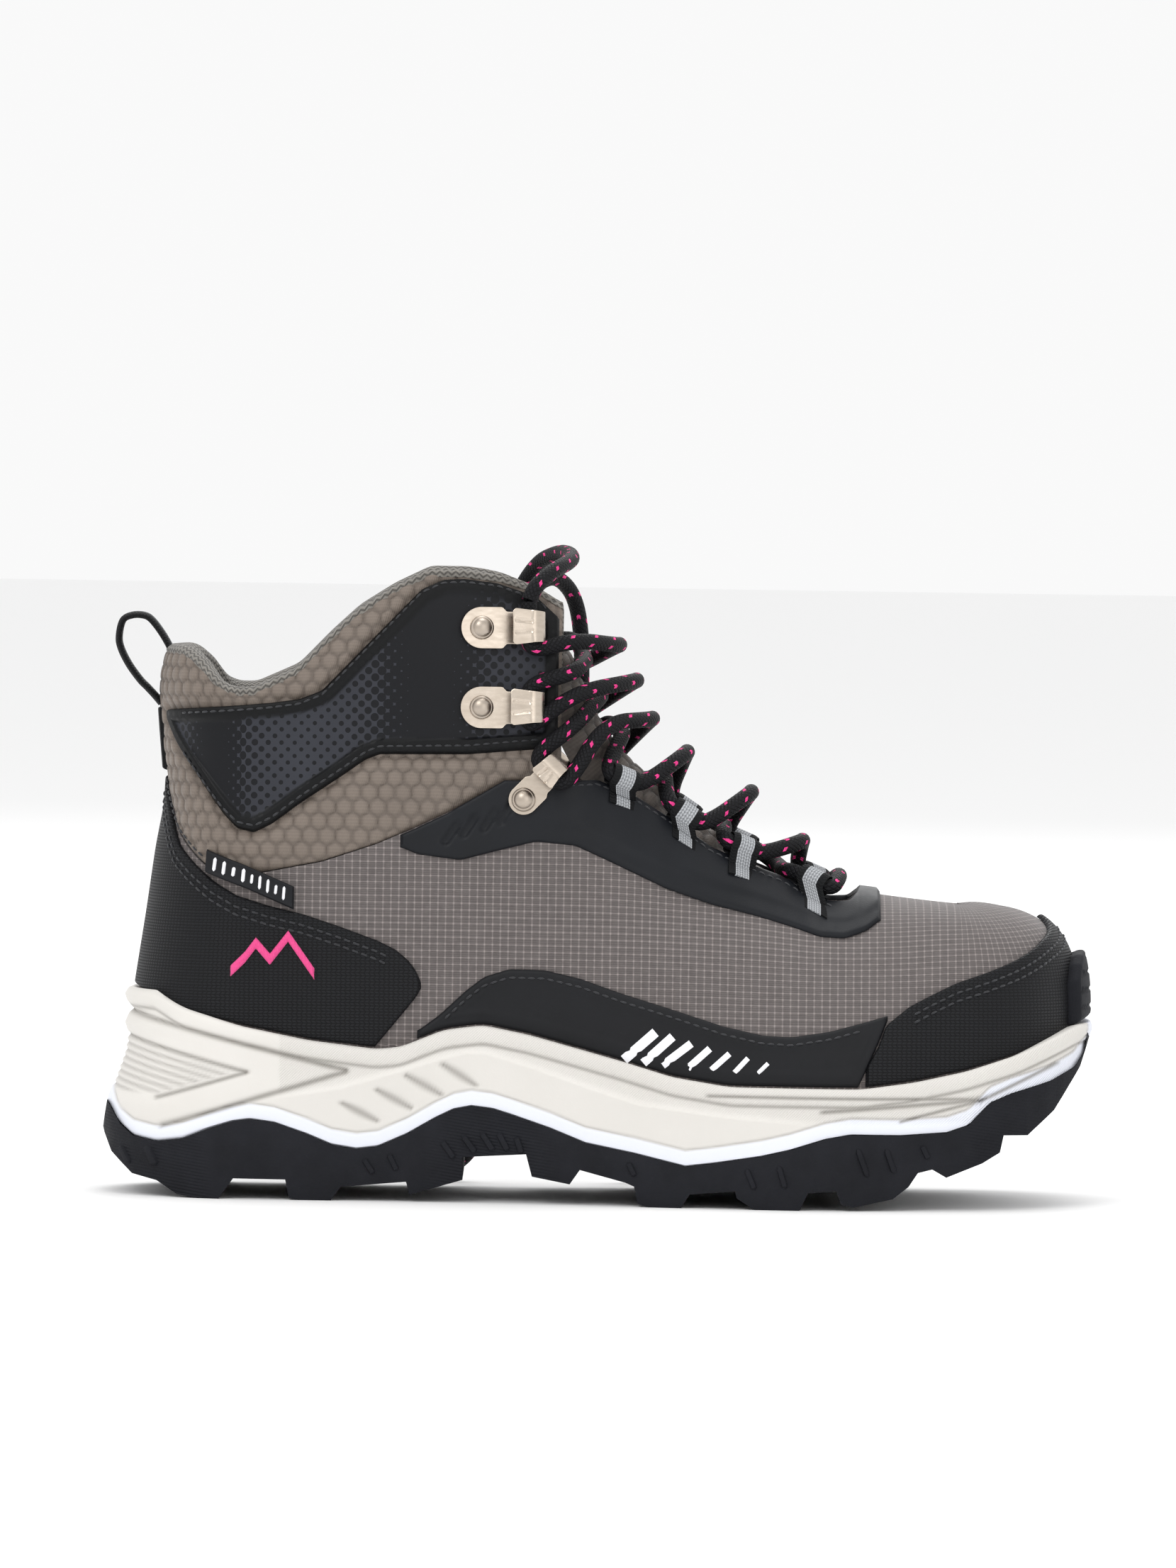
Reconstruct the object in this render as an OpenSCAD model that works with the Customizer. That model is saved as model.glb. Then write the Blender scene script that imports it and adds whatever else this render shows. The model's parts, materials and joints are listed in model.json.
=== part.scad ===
// Mid-cut hiking boot for the right foot: sole unit, layered upper, collar,
// tongue, lacing hardware, lace and pull loop.
// +X points to the toe, +Z up, and the outer (lateral) side of the boot faces -Y.

/* [Sole] */
// Half width of the sole at the heel
heel_half = 37; // [35:0.5:39]
// Half width of the sole at the ball of the foot
ball_half = 50; // [48:0.5:52]
// Thickness of the stiffening plate under the arch
shank_t = 1.2; // [0.8:0.1:1.6]
// Thickness of the removable footbed
footbed_t = 4; // [3:0.5:5]

/* [Upper] */
// Thickness of the ripstop and collar cloth
cloth_t = 1.2; // [1:0.1:1.3]
// Thickness of the overlays glued on the cloth
overlay_t = 1.1; // [0.9:0.1:1.3]
// Gap left for glue between layers
glue = 0.25; // [0.2:0.05:0.3]

/* [Lacing] */
// Diameter of the round lace
lace_d = 4.5; // [4:0.1:4.6]
// Thickness of the hook plates
plate_t = 0.9; // [0.8:0.1:1]
// Radius of the rivet heads
rivet_r = 4.1; // [3.8:0.1:4.2]

/* [Hidden] */

// Centres of the round heel and toe, and the station range that each one spans
heel_x = -100;
toe_x = 100;
heel_span = 36;
toe_span = 40;

// Sole outline: distance from the centres above to the back and front ends
sole_back = 40.2;
sole_front = 39;
mid_inset = 1.2;

// Half width of the sole, and sideways place of its centre line, along the foot
half_table = [[-100, heel_half], [-60, heel_half - 1.5], [-20, heel_half - 2],
  [20, ball_half - 8], [55, ball_half - 0.5], [75, ball_half], [100, ball_half - 4.5]];
centre_table = [[-140, 0], [-100, 0], [-60, -1.5], [-20, -4], [20, -5], [55, -2.5],
  [85, 1], [110, 4], [140, 7]];

// Height of the feather line, where the upper meets the midsole
feather_table = [[-132, 58.5], [-120, 53], [-101, 48.5], [-82, 44.8], [-63, 42.6], [-56, 43.3],
  [-44, 48.3], [-33, 49.8], [-20, 47.3], [5, 40.8], [20, 36.5], [36, 34.1], [73, 34], [88, 36],
  [102, 39], [117, 43.7], [135, 51.6]];
// Height of the crown that each cross section rises to (virtual where the boot is open)
crown_table = [[-140, 420], [-95, 400], [-60, 290], [-45, 240], [-30, 205], [-12, 188],
  [-2, 150], [10, 127], [20, 116], [30, 107.5], [40, 99], [50, 92.5], [58, 88.5], [70, 87.2],
  [80, 86], [90, 85], [100, 84], [140, 84]];
// Roundness of each cross section: 2 is an ellipse, more is squarer
square_table = [[-140, 2.3], [-20, 2.2], [0, 1.9], [20, 1.85], [65, 1.95], [85, 2.3], [105, 3],
  [140, 3]];
// Slimming of the shaft with height
slim_table = [[80, 1], [115, 0.94], [140, 0.95], [180, 1]];
// Distance from the heel centre back to the cloth, with height
back_table = [[40, 31.5], [58, 30.5], [79, 27.4], [97, 25], [109, 22.8], [118, 22.4],
  [131, 23.6], [140, 24.3], [156, 23.4]];
upper_inset = 4.8;
upper_front = 33.5;

// Top edges: ankle seam of the ripstop, edge of the throat, and top of the collar
seam_table = [[-136, 117], [-128, 109], [-120.7, 101], [-113, 94.5], [-108, 91], [-97, 91],
  [-79, 94.6], [-63.6, 99.8], [-53.5, 104.2], [-43, 109.3], [-28, 118], [-2, 118], [8, 113.7],
  [21, 105.5], [30, 99.2], [40, 94.6], [50, 90.7], [58, 86.2], [64, 84.1], [69, 84.2], [72, 87]];
collar_table = [[-136, 153.5], [-121, 153.5], [-115, 150.5], [-108, 144], [-104, 142.5],
  [-99, 142.5], [-87, 148], [-78, 157.5], [-70, 165], [-60, 171.5], [-50, 176.5], [-40, 176.5],
  [-30, 175], [-20, 171.5], [-12.5, 167]];
closed_x = 72;

// Stations round the heel, along the sides and round the toe
heel_st = [for (s = [-136:4:-104]) s];
toe_st = [for (s = [100:5:140]) s];
shaft_st = concat(heel_st, [for (s = [-100:8:-20]) s], [-12.5]);
full_st = concat(shaft_st, [-2, 8, 18, 28, 38, 48, 58, 64, 69, closed_x, 80, 90], toe_st);

function soft(x, table, r) = (lookup(x - r, table) + 2 * lookup(x, table) + lookup(x + r, table)) / 4;
function half_w(x) = soft(x, half_table, 12);
function centre_y(x) = soft(x, centre_table, 12);
function feather(x) = soft(x, feather_table, 3);
function crown(x) = soft(x, crown_table, 3);
function square_of(x) = lookup(x, square_table);
function upper_w(x) = half_w(x) - upper_inset;

// Real X of the outline at a station of the toe, and angle round the heel or the toe
function toe_turn(s) = (s - toe_x) / toe_span * 90;
function heel_turn(s) = (heel_x - s) / heel_span * 90;
function foot_x(s) = s > toe_x ? toe_x + upper_front * sin(toe_turn(s))
  : s < heel_x ? heel_x - 31 * sin(heel_turn(s)) : s;

// A height on the cross section as a rising angle, 0 at the feather line and 90 at the crown
sunk = 0.4;
function rise_of(s, z) = let (f = feather(foot_x(s)), h = crown(min(s, toe_x)) - f)
  z < f ? (z - f) / sunk : asin(min(1, pow((z - f) / h, square_of(s) / 2)));

// A point of the upper: side (-1 outer, 1 inner), station, rising angle, distance off the cloth
function skin_point(side, s, rise, off) =
  let (f = feather(foot_x(s)), h = crown(min(s, toe_x)) - f, q = 2 / square_of(s),
    up = rise > 0 ? pow(sin(rise), q) : 0,
    k = rise > 0 ? pow(max(0, cos(rise)), q) : 1,
    z = rise > 0 ? f + (h + off) * up : f + rise * sunk,
    w = upper_w(max(heel_x, min(toe_x, s))) * lookup(z, slim_table) + off,
    x = s < heel_x ? heel_x - (lookup(z, back_table) + off) * sin(heel_turn(s))
      : s > toe_x ? toe_x + (upper_front + off) * k * sin(toe_turn(s)) : s,
    y = s < heel_x ? w * k * cos(heel_turn(s)) : s > toe_x ? w * k * cos(toe_turn(s)) : w * k)
  [x, side * y + centre_y(x), z];

function clean(f) = [for (i = [0:len(f) - 1]) if (f[i] != f[(i + 1) % len(f)]) f[i]];
function turned(f, flip) = flip ? [for (i = [len(f) - 1:-1:0]) f[i]] : f;

// A layer of the upper between two edges, lo and hi, given as tables of height by station.
// outer and inner are its distances off the cloth. It may close over the crown from a station
// on, and its two sides may join at the first station (heel) or the last (toe).
module layer(st, lo, hi, outer, inner, rows = 5, sides = [-1, 1], heel_join = false,
    toe_join = false, closed = 999) {
  m = len(st);
  n = rows;
  pole = [for (i = [0:m - 1]) if (st[i] >= toe_x) i][0];
  function rise(i, j) = let (a = rise_of(st[i], lookup(st[i], lo)),
    b = st[i] >= closed ? 90 : rise_of(st[i], lookup(st[i], hi))) a + (b - a) * j / n;
  function shut(i) = st[i] >= closed;
  function id(l, k, i, j) =
    let (top = shut(i) && j == n,
      kk = (heel_join && i == 0) || (toe_join && i == m - 1) || top ? 0 : k,
      ii = top && st[i] > toe_x ? pole : i)
    ((l * len(sides) + kk) * m + ii) * (n + 1) + j;
  points = [for (l = [0, 1]) for (k = sides) for (i = [0:m - 1]) for (j = [0:n])
    skin_point(k, st[i], rise(i, j), lookup(st[i], l == 0 ? outer : inner))];
  quads = [for (k = [0:len(sides) - 1]) let (flip = sides[k] < 0) each [
    for (i = [0:m - 2]) for (j = [0:n - 1]) for (l = [0, 1])
      turned([id(l, k, i, j), id(l, k, i + 1, j), id(l, k, i + 1, j + 1), id(l, k, i, j + 1)],
        flip != (l == 1)),
    for (i = [0:m - 2])
      turned([id(0, k, i + 1, 0), id(0, k, i, 0), id(1, k, i, 0), id(1, k, i + 1, 0)], flip),
    for (i = [0:m - 2]) if (!(shut(i) && shut(i + 1)))
      turned([id(0, k, i, n), id(0, k, i + 1, n), id(1, k, i + 1, n), id(1, k, i, n)], flip),
    for (j = [0:n - 1]) if (!heel_join)
      turned([id(0, k, 0, j), id(0, k, 0, j + 1), id(1, k, 0, j + 1), id(1, k, 0, j)], flip),
    for (j = [0:n - 1]) if (!toe_join) turned([id(0, k, m - 1, j + 1), id(0, k, m - 1, j),
      id(1, k, m - 1, j), id(1, k, m - 1, j + 1)], flip)]];
  faces = [for (q = quads) let (c = clean(q)) if (len(c) > 2)
    each (len(c) == 3 ? [c] : [[c[0], c[1], c[2]], [c[0], c[2], c[3]]])];
  polyhedron(points, faces);
}
function flat(off) = [[0, off]];

// The outline of the sole, moved in by an inset
function sole_w(x, inset) = half_w(x) - inset;
function sole_side(side, inset) = concat(
  [for (t = [90:-10:10]) let (x = heel_x - (sole_back - inset) * sin(t))
    [x, side * sole_w(heel_x, inset) * cos(t) + centre_y(x)]],
  [for (x = [heel_x:10:toe_x]) [x, side * sole_w(x, inset) + centre_y(x)]],
  [for (t = [10:10:80]) let (x = toe_x + (sole_front - inset) * sin(t))
    [x, side * sole_w(toe_x, inset) * pow(cos(t), 0.9) + centre_y(x)]]);
module sole_plan(inset) {
  tip = toe_x + sole_front - inset;
  inner = sole_side(1, inset);
  polygon(concat(sole_side(-1, inset), [[tip, centre_y(tip)]],
    [for (i = [len(inner) - 1:-1:1]) inner[i]]));
}
// The outline of the upper inside the rim of the midsole, moved out by an offset
module upper_plan(off) {
  side = function (k) concat(
    [for (t = [90:-10:10]) let (x = heel_x - (31 + off) * sin(t))
      [x, k * (upper_w(heel_x) + off) * cos(t) + centre_y(x)]],
    [for (x = [heel_x:10:toe_x]) [x, k * (upper_w(x) + off) + centre_y(x)]],
    [for (t = [10:10:80]) let (x = toe_x + (upper_front + off) * sin(t))
      [x, k * (upper_w(toe_x) + off) * cos(t) + centre_y(x)]]);
  tip = toe_x + upper_front + off;
  inner = side(1);
  polygon(concat(side(-1), [[tip, centre_y(tip)]], [for (i = [len(inner) - 1:-1:1]) inner[i]]));
}
// A side profile, drawn in X and Z, as a block across the foot
module across(points, width = 130) {
  rotate([90, 0, 0]) linear_extrude(width, center = true) polygon(points);
}

// Side profiles of the sole
bound = [[-138.9, 25.7], [-134.8, 19.6], [-131, 16.6], [-124.4, 15.5], [-117, 16.6], [-110, 19.5],
  [-103, 21.8], [-98, 22.5], [-91, 21.6], [-82, 18.6], [-75, 15.7], [-68, 14.6], [-62, 15.4],
  [-54, 19], [-46, 23.7], [-41, 26.2], [-36, 27.2], [-30, 26.5], [-25, 25], [-14, 21.4],
  [-4, 17.5], [10, 14.9], [24, 11.7], [32, 12.8], [45, 15], [53, 16.9], [63, 20.1], [70, 21.4],
  [84, 21.2], [97, 22], [103, 24.1], [109, 30.4], [115, 32.9], [126, 36], [133, 39.5],
  [136, 43.4], [137.2, 48.8]];
tread = [[137.6, 47.4], [134.9, 39.6], [127.3, 27.8], [119.8, 21.1], [113, 21.2], [112, 16.4],
  [107, 13.4], [97, 9.4], [93, 11.7], [89, 10.7], [86.4, 6.8], [82, 3.4], [71, 1], [67.7, 1.8],
  [66.2, 5.5], [58.4, 5], [56, 0], [43.5, 0], [38.5, 3.1], [38, 5.1], [25.4, 3.9], [23, 0],
  [14, 0], [10.9, 0.9], [9.8, 5.7], [7.4, 6.7], [-5.4, 9.9], [-8.2, 5.8], [-18.8, 7.7],
  [-20.5, 13.9], [-38.3, 12.8], [-38.2, 6.4], [-52.9, 2], [-54, 5.6], [-72.2, 3.9], [-75, 0],
  [-84, 0], [-86.7, 0.5], [-87.8, 5.7], [-102.4, 5.8], [-106.5, 0], [-112.3, 0], [-118.3, 1],
  [-124, 4.5], [-131.2, 6], [-137.3, 11.5], [-140.2, 17.7]];
mid_back = [[-132, 59.4], [-133.7, 55.4], [-132.7, 51.2], [-134.4, 47.4], [-133.4, 44.2],
  [-134.1, 39.4], [-136.8, 31.3]];
floor_table = [[-136, 50], [-120, 43], [-100, 38.5], [-60, 33], [-36, 34.5], [0, 29], [30, 25.5],
  [60, 25.5], [90, 28.5], [105, 34], [120, 39.5], [136, 47]];
function floor_z(x) = soft(x, floor_table, 6);
function floor_line(up, x0 = -140, x1 = 140) = [for (x = [x0:10:x1]) [x, floor_z(x) + up]];
function strip(lo, hi, x0 = -140, x1 = 140) =
  concat(floor_line(lo, x0, x1), turned(floor_line(hi, x0, x1), true));
board_t = 1.6;
board_gap = 0.3;
sole_glue = 0.15;

module outsole() color("#1e1f26") difference() {
  intersection() {
    linear_extrude(90) sole_plan(0);
    across(concat([for (p = bound) [p[0], p[1] - sole_glue]], tread));
  }
  // Two long channels part the lugs down the middle
  for (side = [-1, 1]) translate([-30, side * 13 - 3.5, -1]) {
    translate([-100, 0, 0]) cube([84, 5, 5]);
    translate([34, 0, 0]) cube([106, 5, 5.5]);
  }
}

module midsole() color("#e8e4dd") difference() {
  intersection() {
    linear_extrude(90) sole_plan(mid_inset);
    across(concat(bound, [for (x = [135:-5:-130]) [x, feather(x)]], mid_back));
  }
  intersection() {
    linear_extrude(90) upper_plan(1.9);
    across(concat(floor_line(0), [[140, 99], [-140, 99]]));
  }
  // Recess for the shank
  intersection() {
    translate([-62, -12, 0]) cube([96, 22, 90]);
    across(strip(-shank_t - 0.6, 5));
  }
}

module shank() color("#9a9ca0") intersection() {
  translate([-60, -10, 0]) cube([92, 18, 60]);
  across(strip(-shank_t - 0.3, -0.3));
}

module insole_board() color("#b8a888") intersection() {
  linear_extrude(90) upper_plan(-4.4);
  across(strip(0.1, board_t));
}

module footbed() color("#55565c") intersection() {
  linear_extrude(90) upper_plan(-6.6);
  across(strip(board_t + board_gap, board_t + board_gap + footbed_t));
}

// Lower edge of the layers that tuck into the midsole
tuck_table = [for (s = [-136:4:140]) [s, feather(foot_x(s)) - 5.5]];
rim_table = [for (s = [-136:4:140]) [s, feather(foot_x(s)) + 0.4]];

module ripstop_upper() color("#6b6463")
  layer(full_st, tuck_table, seam_table, flat(0), flat(-cloth_t), rows = 7, heel_join = true,
    toe_join = true, closed = closed_x);

lining_out = -2.9;
module lining() color("#54535a")
  layer(full_st, tuck_table, [for (p = seam_table) [p[0], p[1] - 1]], flat(lining_out),
    flat(lining_out - 0.8), rows = 5, heel_join = true, toe_join = true, closed = closed_x);

module heel_counter() color("#c9c2b0")
  layer([for (s = full_st) if (s <= -68) s], tuck_table, [[-136, 92], [-104, 84], [-68, 64]],
    flat(-cloth_t - glue), flat(lining_out + glue), rows = 3, heel_join = true);

module toe_puff() color("#c9c2b0")
  layer([for (s = full_st) if (s >= 90) s], tuck_table, [[90, 54], [110, 64], [140, 77]],
    flat(-cloth_t - glue - 0.1), flat(lining_out + glue + 0.05), rows = 3, toe_join = true);

heel_cap_hi = [[-136, 117], [-126, 107], [-119.7, 98.4], [-114, 93.5], [-108, 88.6], [-102, 84.7],
  [-94, 82.2], [-84, 79.9], [-74, 76.7], [-63, 72.8], [-56, 70.3], [-52, 67.2], [-50.3, 63.6]];
heel_cap_lo = concat([for (p = rim_table) if (p[0] < -64) p], [[-63, 43.8], [-60.6, 46.3],
  [-56, 52], [-52, 57], [-50.3, 61]]);
module heel_cap() color("#17171b")
  layer(concat([for (s = full_st) if (s <= -68) s], [-63, -60, -56, -52, -50.3]), heel_cap_lo,
    heel_cap_hi, flat(glue + overlay_t), flat(glue), rows = 5, heel_join = true);

toe_cap_hi = [[73, 37.5], [77.6, 46], [79.6, 51.5], [86, 56.6], [92, 59.7], [98, 62.6], [107, 66.4],
  [113.6, 69.3], [124, 74.4], [134, 78], [140, 80.3]];
module toe_cap() color("#17171b")
  layer(concat([74, 78, 80, 90, 95], toe_st), rim_table, toe_cap_hi, flat(glue + overlay_t),
    flat(glue), rows = 5, toe_join = true);

// Rubber bumper: a curved tab standing on the tip of the midsole, against the toe cap
bumper_hi = [[128.5, 62], [131, 66.4], [134, 68.8], [140, 69.6]];
module toe_bumper() color("#1e1f26")
  layer([128.5, 129.5, 131, 134, 137, 140], [for (p = rim_table) [p[0], p[1] + 1]], bumper_hi,
    [[128.5, 3.4], [134, 4.8], [140, 5.2]], flat(2 * glue + overlay_t), rows = 5, toe_join = true);

guard_hi = [[-51.5, 47.6], [-45.5, 52.1], [-38, 59.2], [-33, 63.1], [-26, 65.4], [-16, 65.3],
  [-6, 63.1], [5, 59.4], [19, 55.3], [34, 50.7], [45, 48.4], [53, 48], [64, 49.7], [75, 52.7],
  [80, 54.2]];
guard_lo = concat([for (p = rim_table) if (p[0] < 72) p], [[73, 38.3], [77.6, 46.8], [80, 53]]);
guard_st = [-51.5, -46, -38, -33, -26, -16, -6, 5, 18, 28, 38, 48, 58, 64, 69, 73, 76, 78, 80];
module mudguard(side) layer(guard_st, guard_lo, guard_hi, flat(glue + overlay_t), flat(glue),
  rows = 3, sides = [side]);
module mudguard_lateral() color("#1c1d22") mudguard(-1);
module mudguard_medial() color("#1c1d22") mudguard(1);

// Seven slanted bars printed on each mudguard: foot, height and width shrink to the front
bars = 7;
module guard_bar(side, k) {
  x0 = 6.5 + 5.6 * k;
  z0 = 41.5 - 0.75 * k + 0.05 * k * k;
  w = 2.8 - 0.27 * k;
  dx = 8.4 - 0.9 * k;
  dz = 7.4 - 0.6 * k;
  layer([x0, x0 + w / 2, x0 + dx / 2, x0 + dx, x0 + dx + w / 2],
    [[x0 + w / 2, z0], [x0 + dx + w, z0 + dz]], [[x0 - w / 2, z0], [x0 + dx - w / 2 + 0.4, z0 + dz]],
    flat(2 * glue + overlay_t + 0.25), flat(2 * glue + overlay_t), rows = 1, sides = [side]);
}
module guard_bars() color("#e9e9ec")
  for (side = [-1, 1]) for (k = [0:bars - 1]) guard_bar(side, k);

eyestay_lo = [[-57, 99], [-52, 97], [-40, 95.6], [-30, 98.3], [-19, 101.1], [-8, 100.1], [2, 95.6],
  [18, 88.2], [30, 84.2], [43, 81], [53, 78], [61, 75.3], [68, 75], [74, 77.1], [78, 80]];
eyestay_st = [-57, -52, -44, -36, -28, -20, -12.5, -2, 8, 18, 28, 38, 48, 58, 64, 69, closed_x, 75, 78];
module eyestay_overlay() color("#101216")
  layer(eyestay_st, eyestay_lo, [for (p = seam_table) [p[0], p[1] - 0.3]], flat(glue + overlay_t),
    flat(glue + 0.2), rows = 4, closed = closed_x);

module collar_shell() color("#7d7168")
  layer(shaft_st, [for (p = seam_table) [p[0], p[1] + 0.5]], collar_table, flat(0), flat(-cloth_t),
    rows = 5, heel_join = true);

// The collar padding thins to nothing towards the front edge
foam_in = [[-136, -6.6], [-44, -6.6], [-28, -2.9]];
module collar_foam() color("#8b8d92")
  layer([for (s = shaft_st) if (s <= -28) s], [for (p = seam_table) [p[0], p[1] + 2]],
    [for (p = collar_table) [p[0], p[1] - 2]], flat(-cloth_t - glue), foam_in, rows = 4,
    heel_join = true);

module collar_lining() color("#6b6863")
  layer(shaft_st, [for (p = seam_table) [p[0], p[1] + 0.5]], collar_table,
    [[-136, -6.9], [-44, -6.9], [-28, -3.2], [-20, -1.5]],
    [[-136, -7.9], [-44, -7.9], [-28, -4.2], [-20, -2.5]], rows = 5, heel_join = true);

ankle_hi = [[-127, 136], [-107, 137.6], [-94, 138.8], [-86, 139.9], [-79.6, 142.4], [-70, 152.4],
  [-60, 162.8], [-52, 171], [-46, 173.6], [-40, 173.8], [-31, 172.6], [-20, 169], [-13.4, 163]];
ankle_lo = [[-127, 133], [-122.6, 126.6], [-114, 116.5], [-106.5, 107.4], [-102.5, 103.5],
  [-98, 102.5], [-93, 105], [-85, 111], [-73, 119.1], [-67, 123.4], [-63, 124.9], [-38.6, 125.2],
  [-13.4, 127.4]];
ankle_st = [-127, -124, -120, -116, -112, -108, -104, -98, -92, -84, -76, -68, -60, -52, -46, -40,
  -28, -20, -13.4];
module ankle_overlay(side) layer(ankle_st, ankle_lo, ankle_hi, flat(glue + overlay_t + 0.2),
  flat(glue), rows = 4, sides = [side]);
module ankle_overlay_lateral() color("#26272c") ankle_overlay(-1);
module ankle_overlay_medial() color("#26272c") ankle_overlay(1);

// Tongue: its front face runs up the throat, bowed back at both edges.
// Each row is X, Z of the middle, half width, and how far back the edges bow.
tongue_rows = [[70, 80.5, 12, 4], [62, 83.5, 13, 5.5], [52, 89, 14, 7.5], [41, 96, 15, 9],
  [31, 104, 16, 10.5], [21, 112, 17, 12], [11, 120.5, 17, 12], [3, 128.5, 17, 11],
  [-3, 138, 17, 10], [-8, 149, 16.5, 9], [-13, 160, 16.5, 8], [-18, 170, 16, 7]];
tongue_cols = 6;
function tongue_dir(i) = let (a = tongue_rows[max(0, i - 1)],
  b = tongue_rows[min(len(tongue_rows) - 1, i + 1)], d = norm([b[0] - a[0], b[1] - a[1]]))
  [(b[1] - a[1]) / d, (a[0] - b[0]) / d];
function tongue_point(i, c, depth) = let (r = tongue_rows[i], n = tongue_dir(i),
  u = c / tongue_cols * 2 - 1, back = depth + r[3] * u * u)
  [r[0] - n[0] * back, u * r[2] + centre_y(r[0]), r[1] - n[1] * back];
module tongue_slab(front, back, first, last, trim) {
  m = last - first + 1;
  n = tongue_cols;
  function at(l, i, c) = let (p = tongue_point(first + i, c, l == 0 ? front : back),
    y0 = centre_y(tongue_rows[first + i][0])) [p[0], y0 + (p[1] - y0) * trim, p[2]];
  function id(l, i, c) = (l * m + i) * (n + 1) + c;
  points = [for (l = [0, 1]) for (i = [0:m - 1]) for (c = [0:n]) at(l, i, c)];
  quads = concat(
    [for (l = [0, 1]) for (i = [0:m - 2]) for (c = [0:n - 1])
      turned([id(l, i, c), id(l, i + 1, c), id(l, i + 1, c + 1), id(l, i, c + 1)], l == 1)],
    [for (i = [0:m - 2]) for (c = [0, n])
      turned([id(0, i, c), id(1, i, c), id(1, i + 1, c), id(0, i + 1, c)], c == n)],
    [for (c = [0:n - 1]) for (i = [0, m - 1])
      turned([id(0, i, c), id(0, i, c + 1), id(1, i, c + 1), id(1, i, c)], i == m - 1)]);
  polyhedron(points, [for (q = quads) each [[q[0], q[1], q[2]], [q[0], q[2], q[3]]]]);
}
module tongue_face() color("#5d554f") tongue_slab(0, 1.2, 0, len(tongue_rows) - 1, 1);
module tongue_padding() color("#6b6863") tongue_slab(1.45, 5.4, 1, len(tongue_rows) - 1, 0.86);

// Unit vectors of the cloth at a place: forwards, up and outwards
function unit(v) = v / norm(v);
function place(side, s, z, off) = skin_point(side, s, rise_of(s, z), off);
function frame_at(side, s, z) = let (a = unit(place(side, s + 3, z, 0) - place(side, s - 3, z, 0)),
  b = place(side, s, z + 3, 0) - place(side, s, z - 3, 0), n = unit(cross(b, a)) * side,
  up = unit(cross(n, a)) * (cross(n, a)[2] > 0 ? 1 : -1)) [a, up, n];
// Puts a piece drawn with X along the cloth, Y up it and Z out of it onto the boot
module on_cloth(side, s, z, off, turn) {
  f = frame_at(side, s, z);
  p = place(side, s, z, 0) + f[2] * off;
  t = [f[0] * cos(turn) + f[1] * sin(turn), f[1] * cos(turn) - f[0] * sin(turn), f[2]];
  y = side < 0 ? t[1] : -t[1];
  multmatrix([[t[0][0], y[0], f[2][0], p[0]], [t[0][1], y[1], f[2][1], p[1]],
    [t[0][2], y[2], f[2][2], p[2]], [0, 0, 0, 1]]) children();
}

// Hooks and rivets: station, height and turn of the plate at each rivet
hook_places = [[-35.5, 160.5, 0], [-35, 138.3, 0]];
lock_place = [-22.5, 112.6, 46];
plate_off = 2 * glue + overlay_t + 0.25;
curl_r = 3;
module hook(reach, plate_h, cap_w) {
  difference() {
    linear_extrude(plate_t) union() {
      circle(r = plate_h / 2, $fn = 48);
      translate([0, -plate_h / 2]) square([reach * 0.45, plate_h]);
      translate([0, -cap_w / 2]) square([reach, cap_w]);
    }
    translate([0, 0, -1]) cylinder(r = 1.7, h = 4, $fn = 32);
  }
  // The strip curls outwards and comes back over the lace as a cap
  translate([reach, cap_w / 2, curl_r + plate_t]) rotate([90, 0, 0]) rotate([0, 0, -90])
    rotate_extrude(angle = 150, $fn = 48) translate([curl_r, 0]) square([plate_t, cap_w]);
}
module speed_hooks() color("#d8cbbd") for (side = [-1, 1]) for (h = hook_places)
  on_cloth(side, h[0], h[1], plate_off, h[2]) hook(13.5, 11.6, 9);
module lock_hooks() color("#d8cbbd") for (side = [-1, 1])
  on_cloth(side, lock_place[0], lock_place[1], plate_off, lock_place[2]) hook(11, 8.4, 6.8);

rivet_places = concat(hook_places, [lock_place]);
module rivet() rotate_extrude($fn = 32) polygon([[0, -2.6], [1.5, -2.6], [1.5, plate_t + 0.1],
  [rivet_r, plate_t + 0.1], [rivet_r - 0.2, plate_t + 0.9], [rivet_r * 0.7, plate_t + 1.9],
  [0, plate_t + 2.4]]);
module hook_rivets() color("#a09890") for (side = [-1, 1]) for (h = rivet_places)
  on_cloth(side, h[0], h[1], plate_off, 0) rivet();
washer_in = -4.6;
module rivet_washers() color("#a09890") for (side = [-1, 1]) for (h = rivet_places)
  on_cloth(side, h[0], h[1], plate_off + washer_in, 0) difference() {
    cylinder(r = 3.4, h = 0.5, $fn = 32);
    translate([0, 0, -1]) cylinder(r = 1.6, h = 3, $fn = 32);
  }

// Webbing loops along the throat: stations, each a sewn tunnel for the lace
loop_x = [59.2, 38.8, 22.7, 5.1];
loop_in = lace_d / 2 + 0.35;
loop_t = 0.9;
loop_len = 8;
loop_off = 5.2;
function edge_z(x) = lookup(x, seam_table);
function loop_mid(side, x) = place(side, x, edge_z(x), loop_off);
function loop_dir(side, x) = unit(loop_mid(side, x - 5) - loop_mid(side, x + 5));
module webbing_loop(side, x) {
  p = loop_mid(side, x);
  d = loop_dir(side, x);
  translate(p) rotate([0, acos(d[2]), atan2(d[1], d[0])]) difference() {
    cylinder(r = loop_in + loop_t, h = loop_len, center = true, $fn = 32);
    cylinder(r = loop_in, h = loop_len + 2, center = true, $fn = 32);
  }
}
module webbing_loops() color("#24252a") for (side = [-1, 1]) for (x = loop_x) webbing_loop(side, x);

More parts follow.
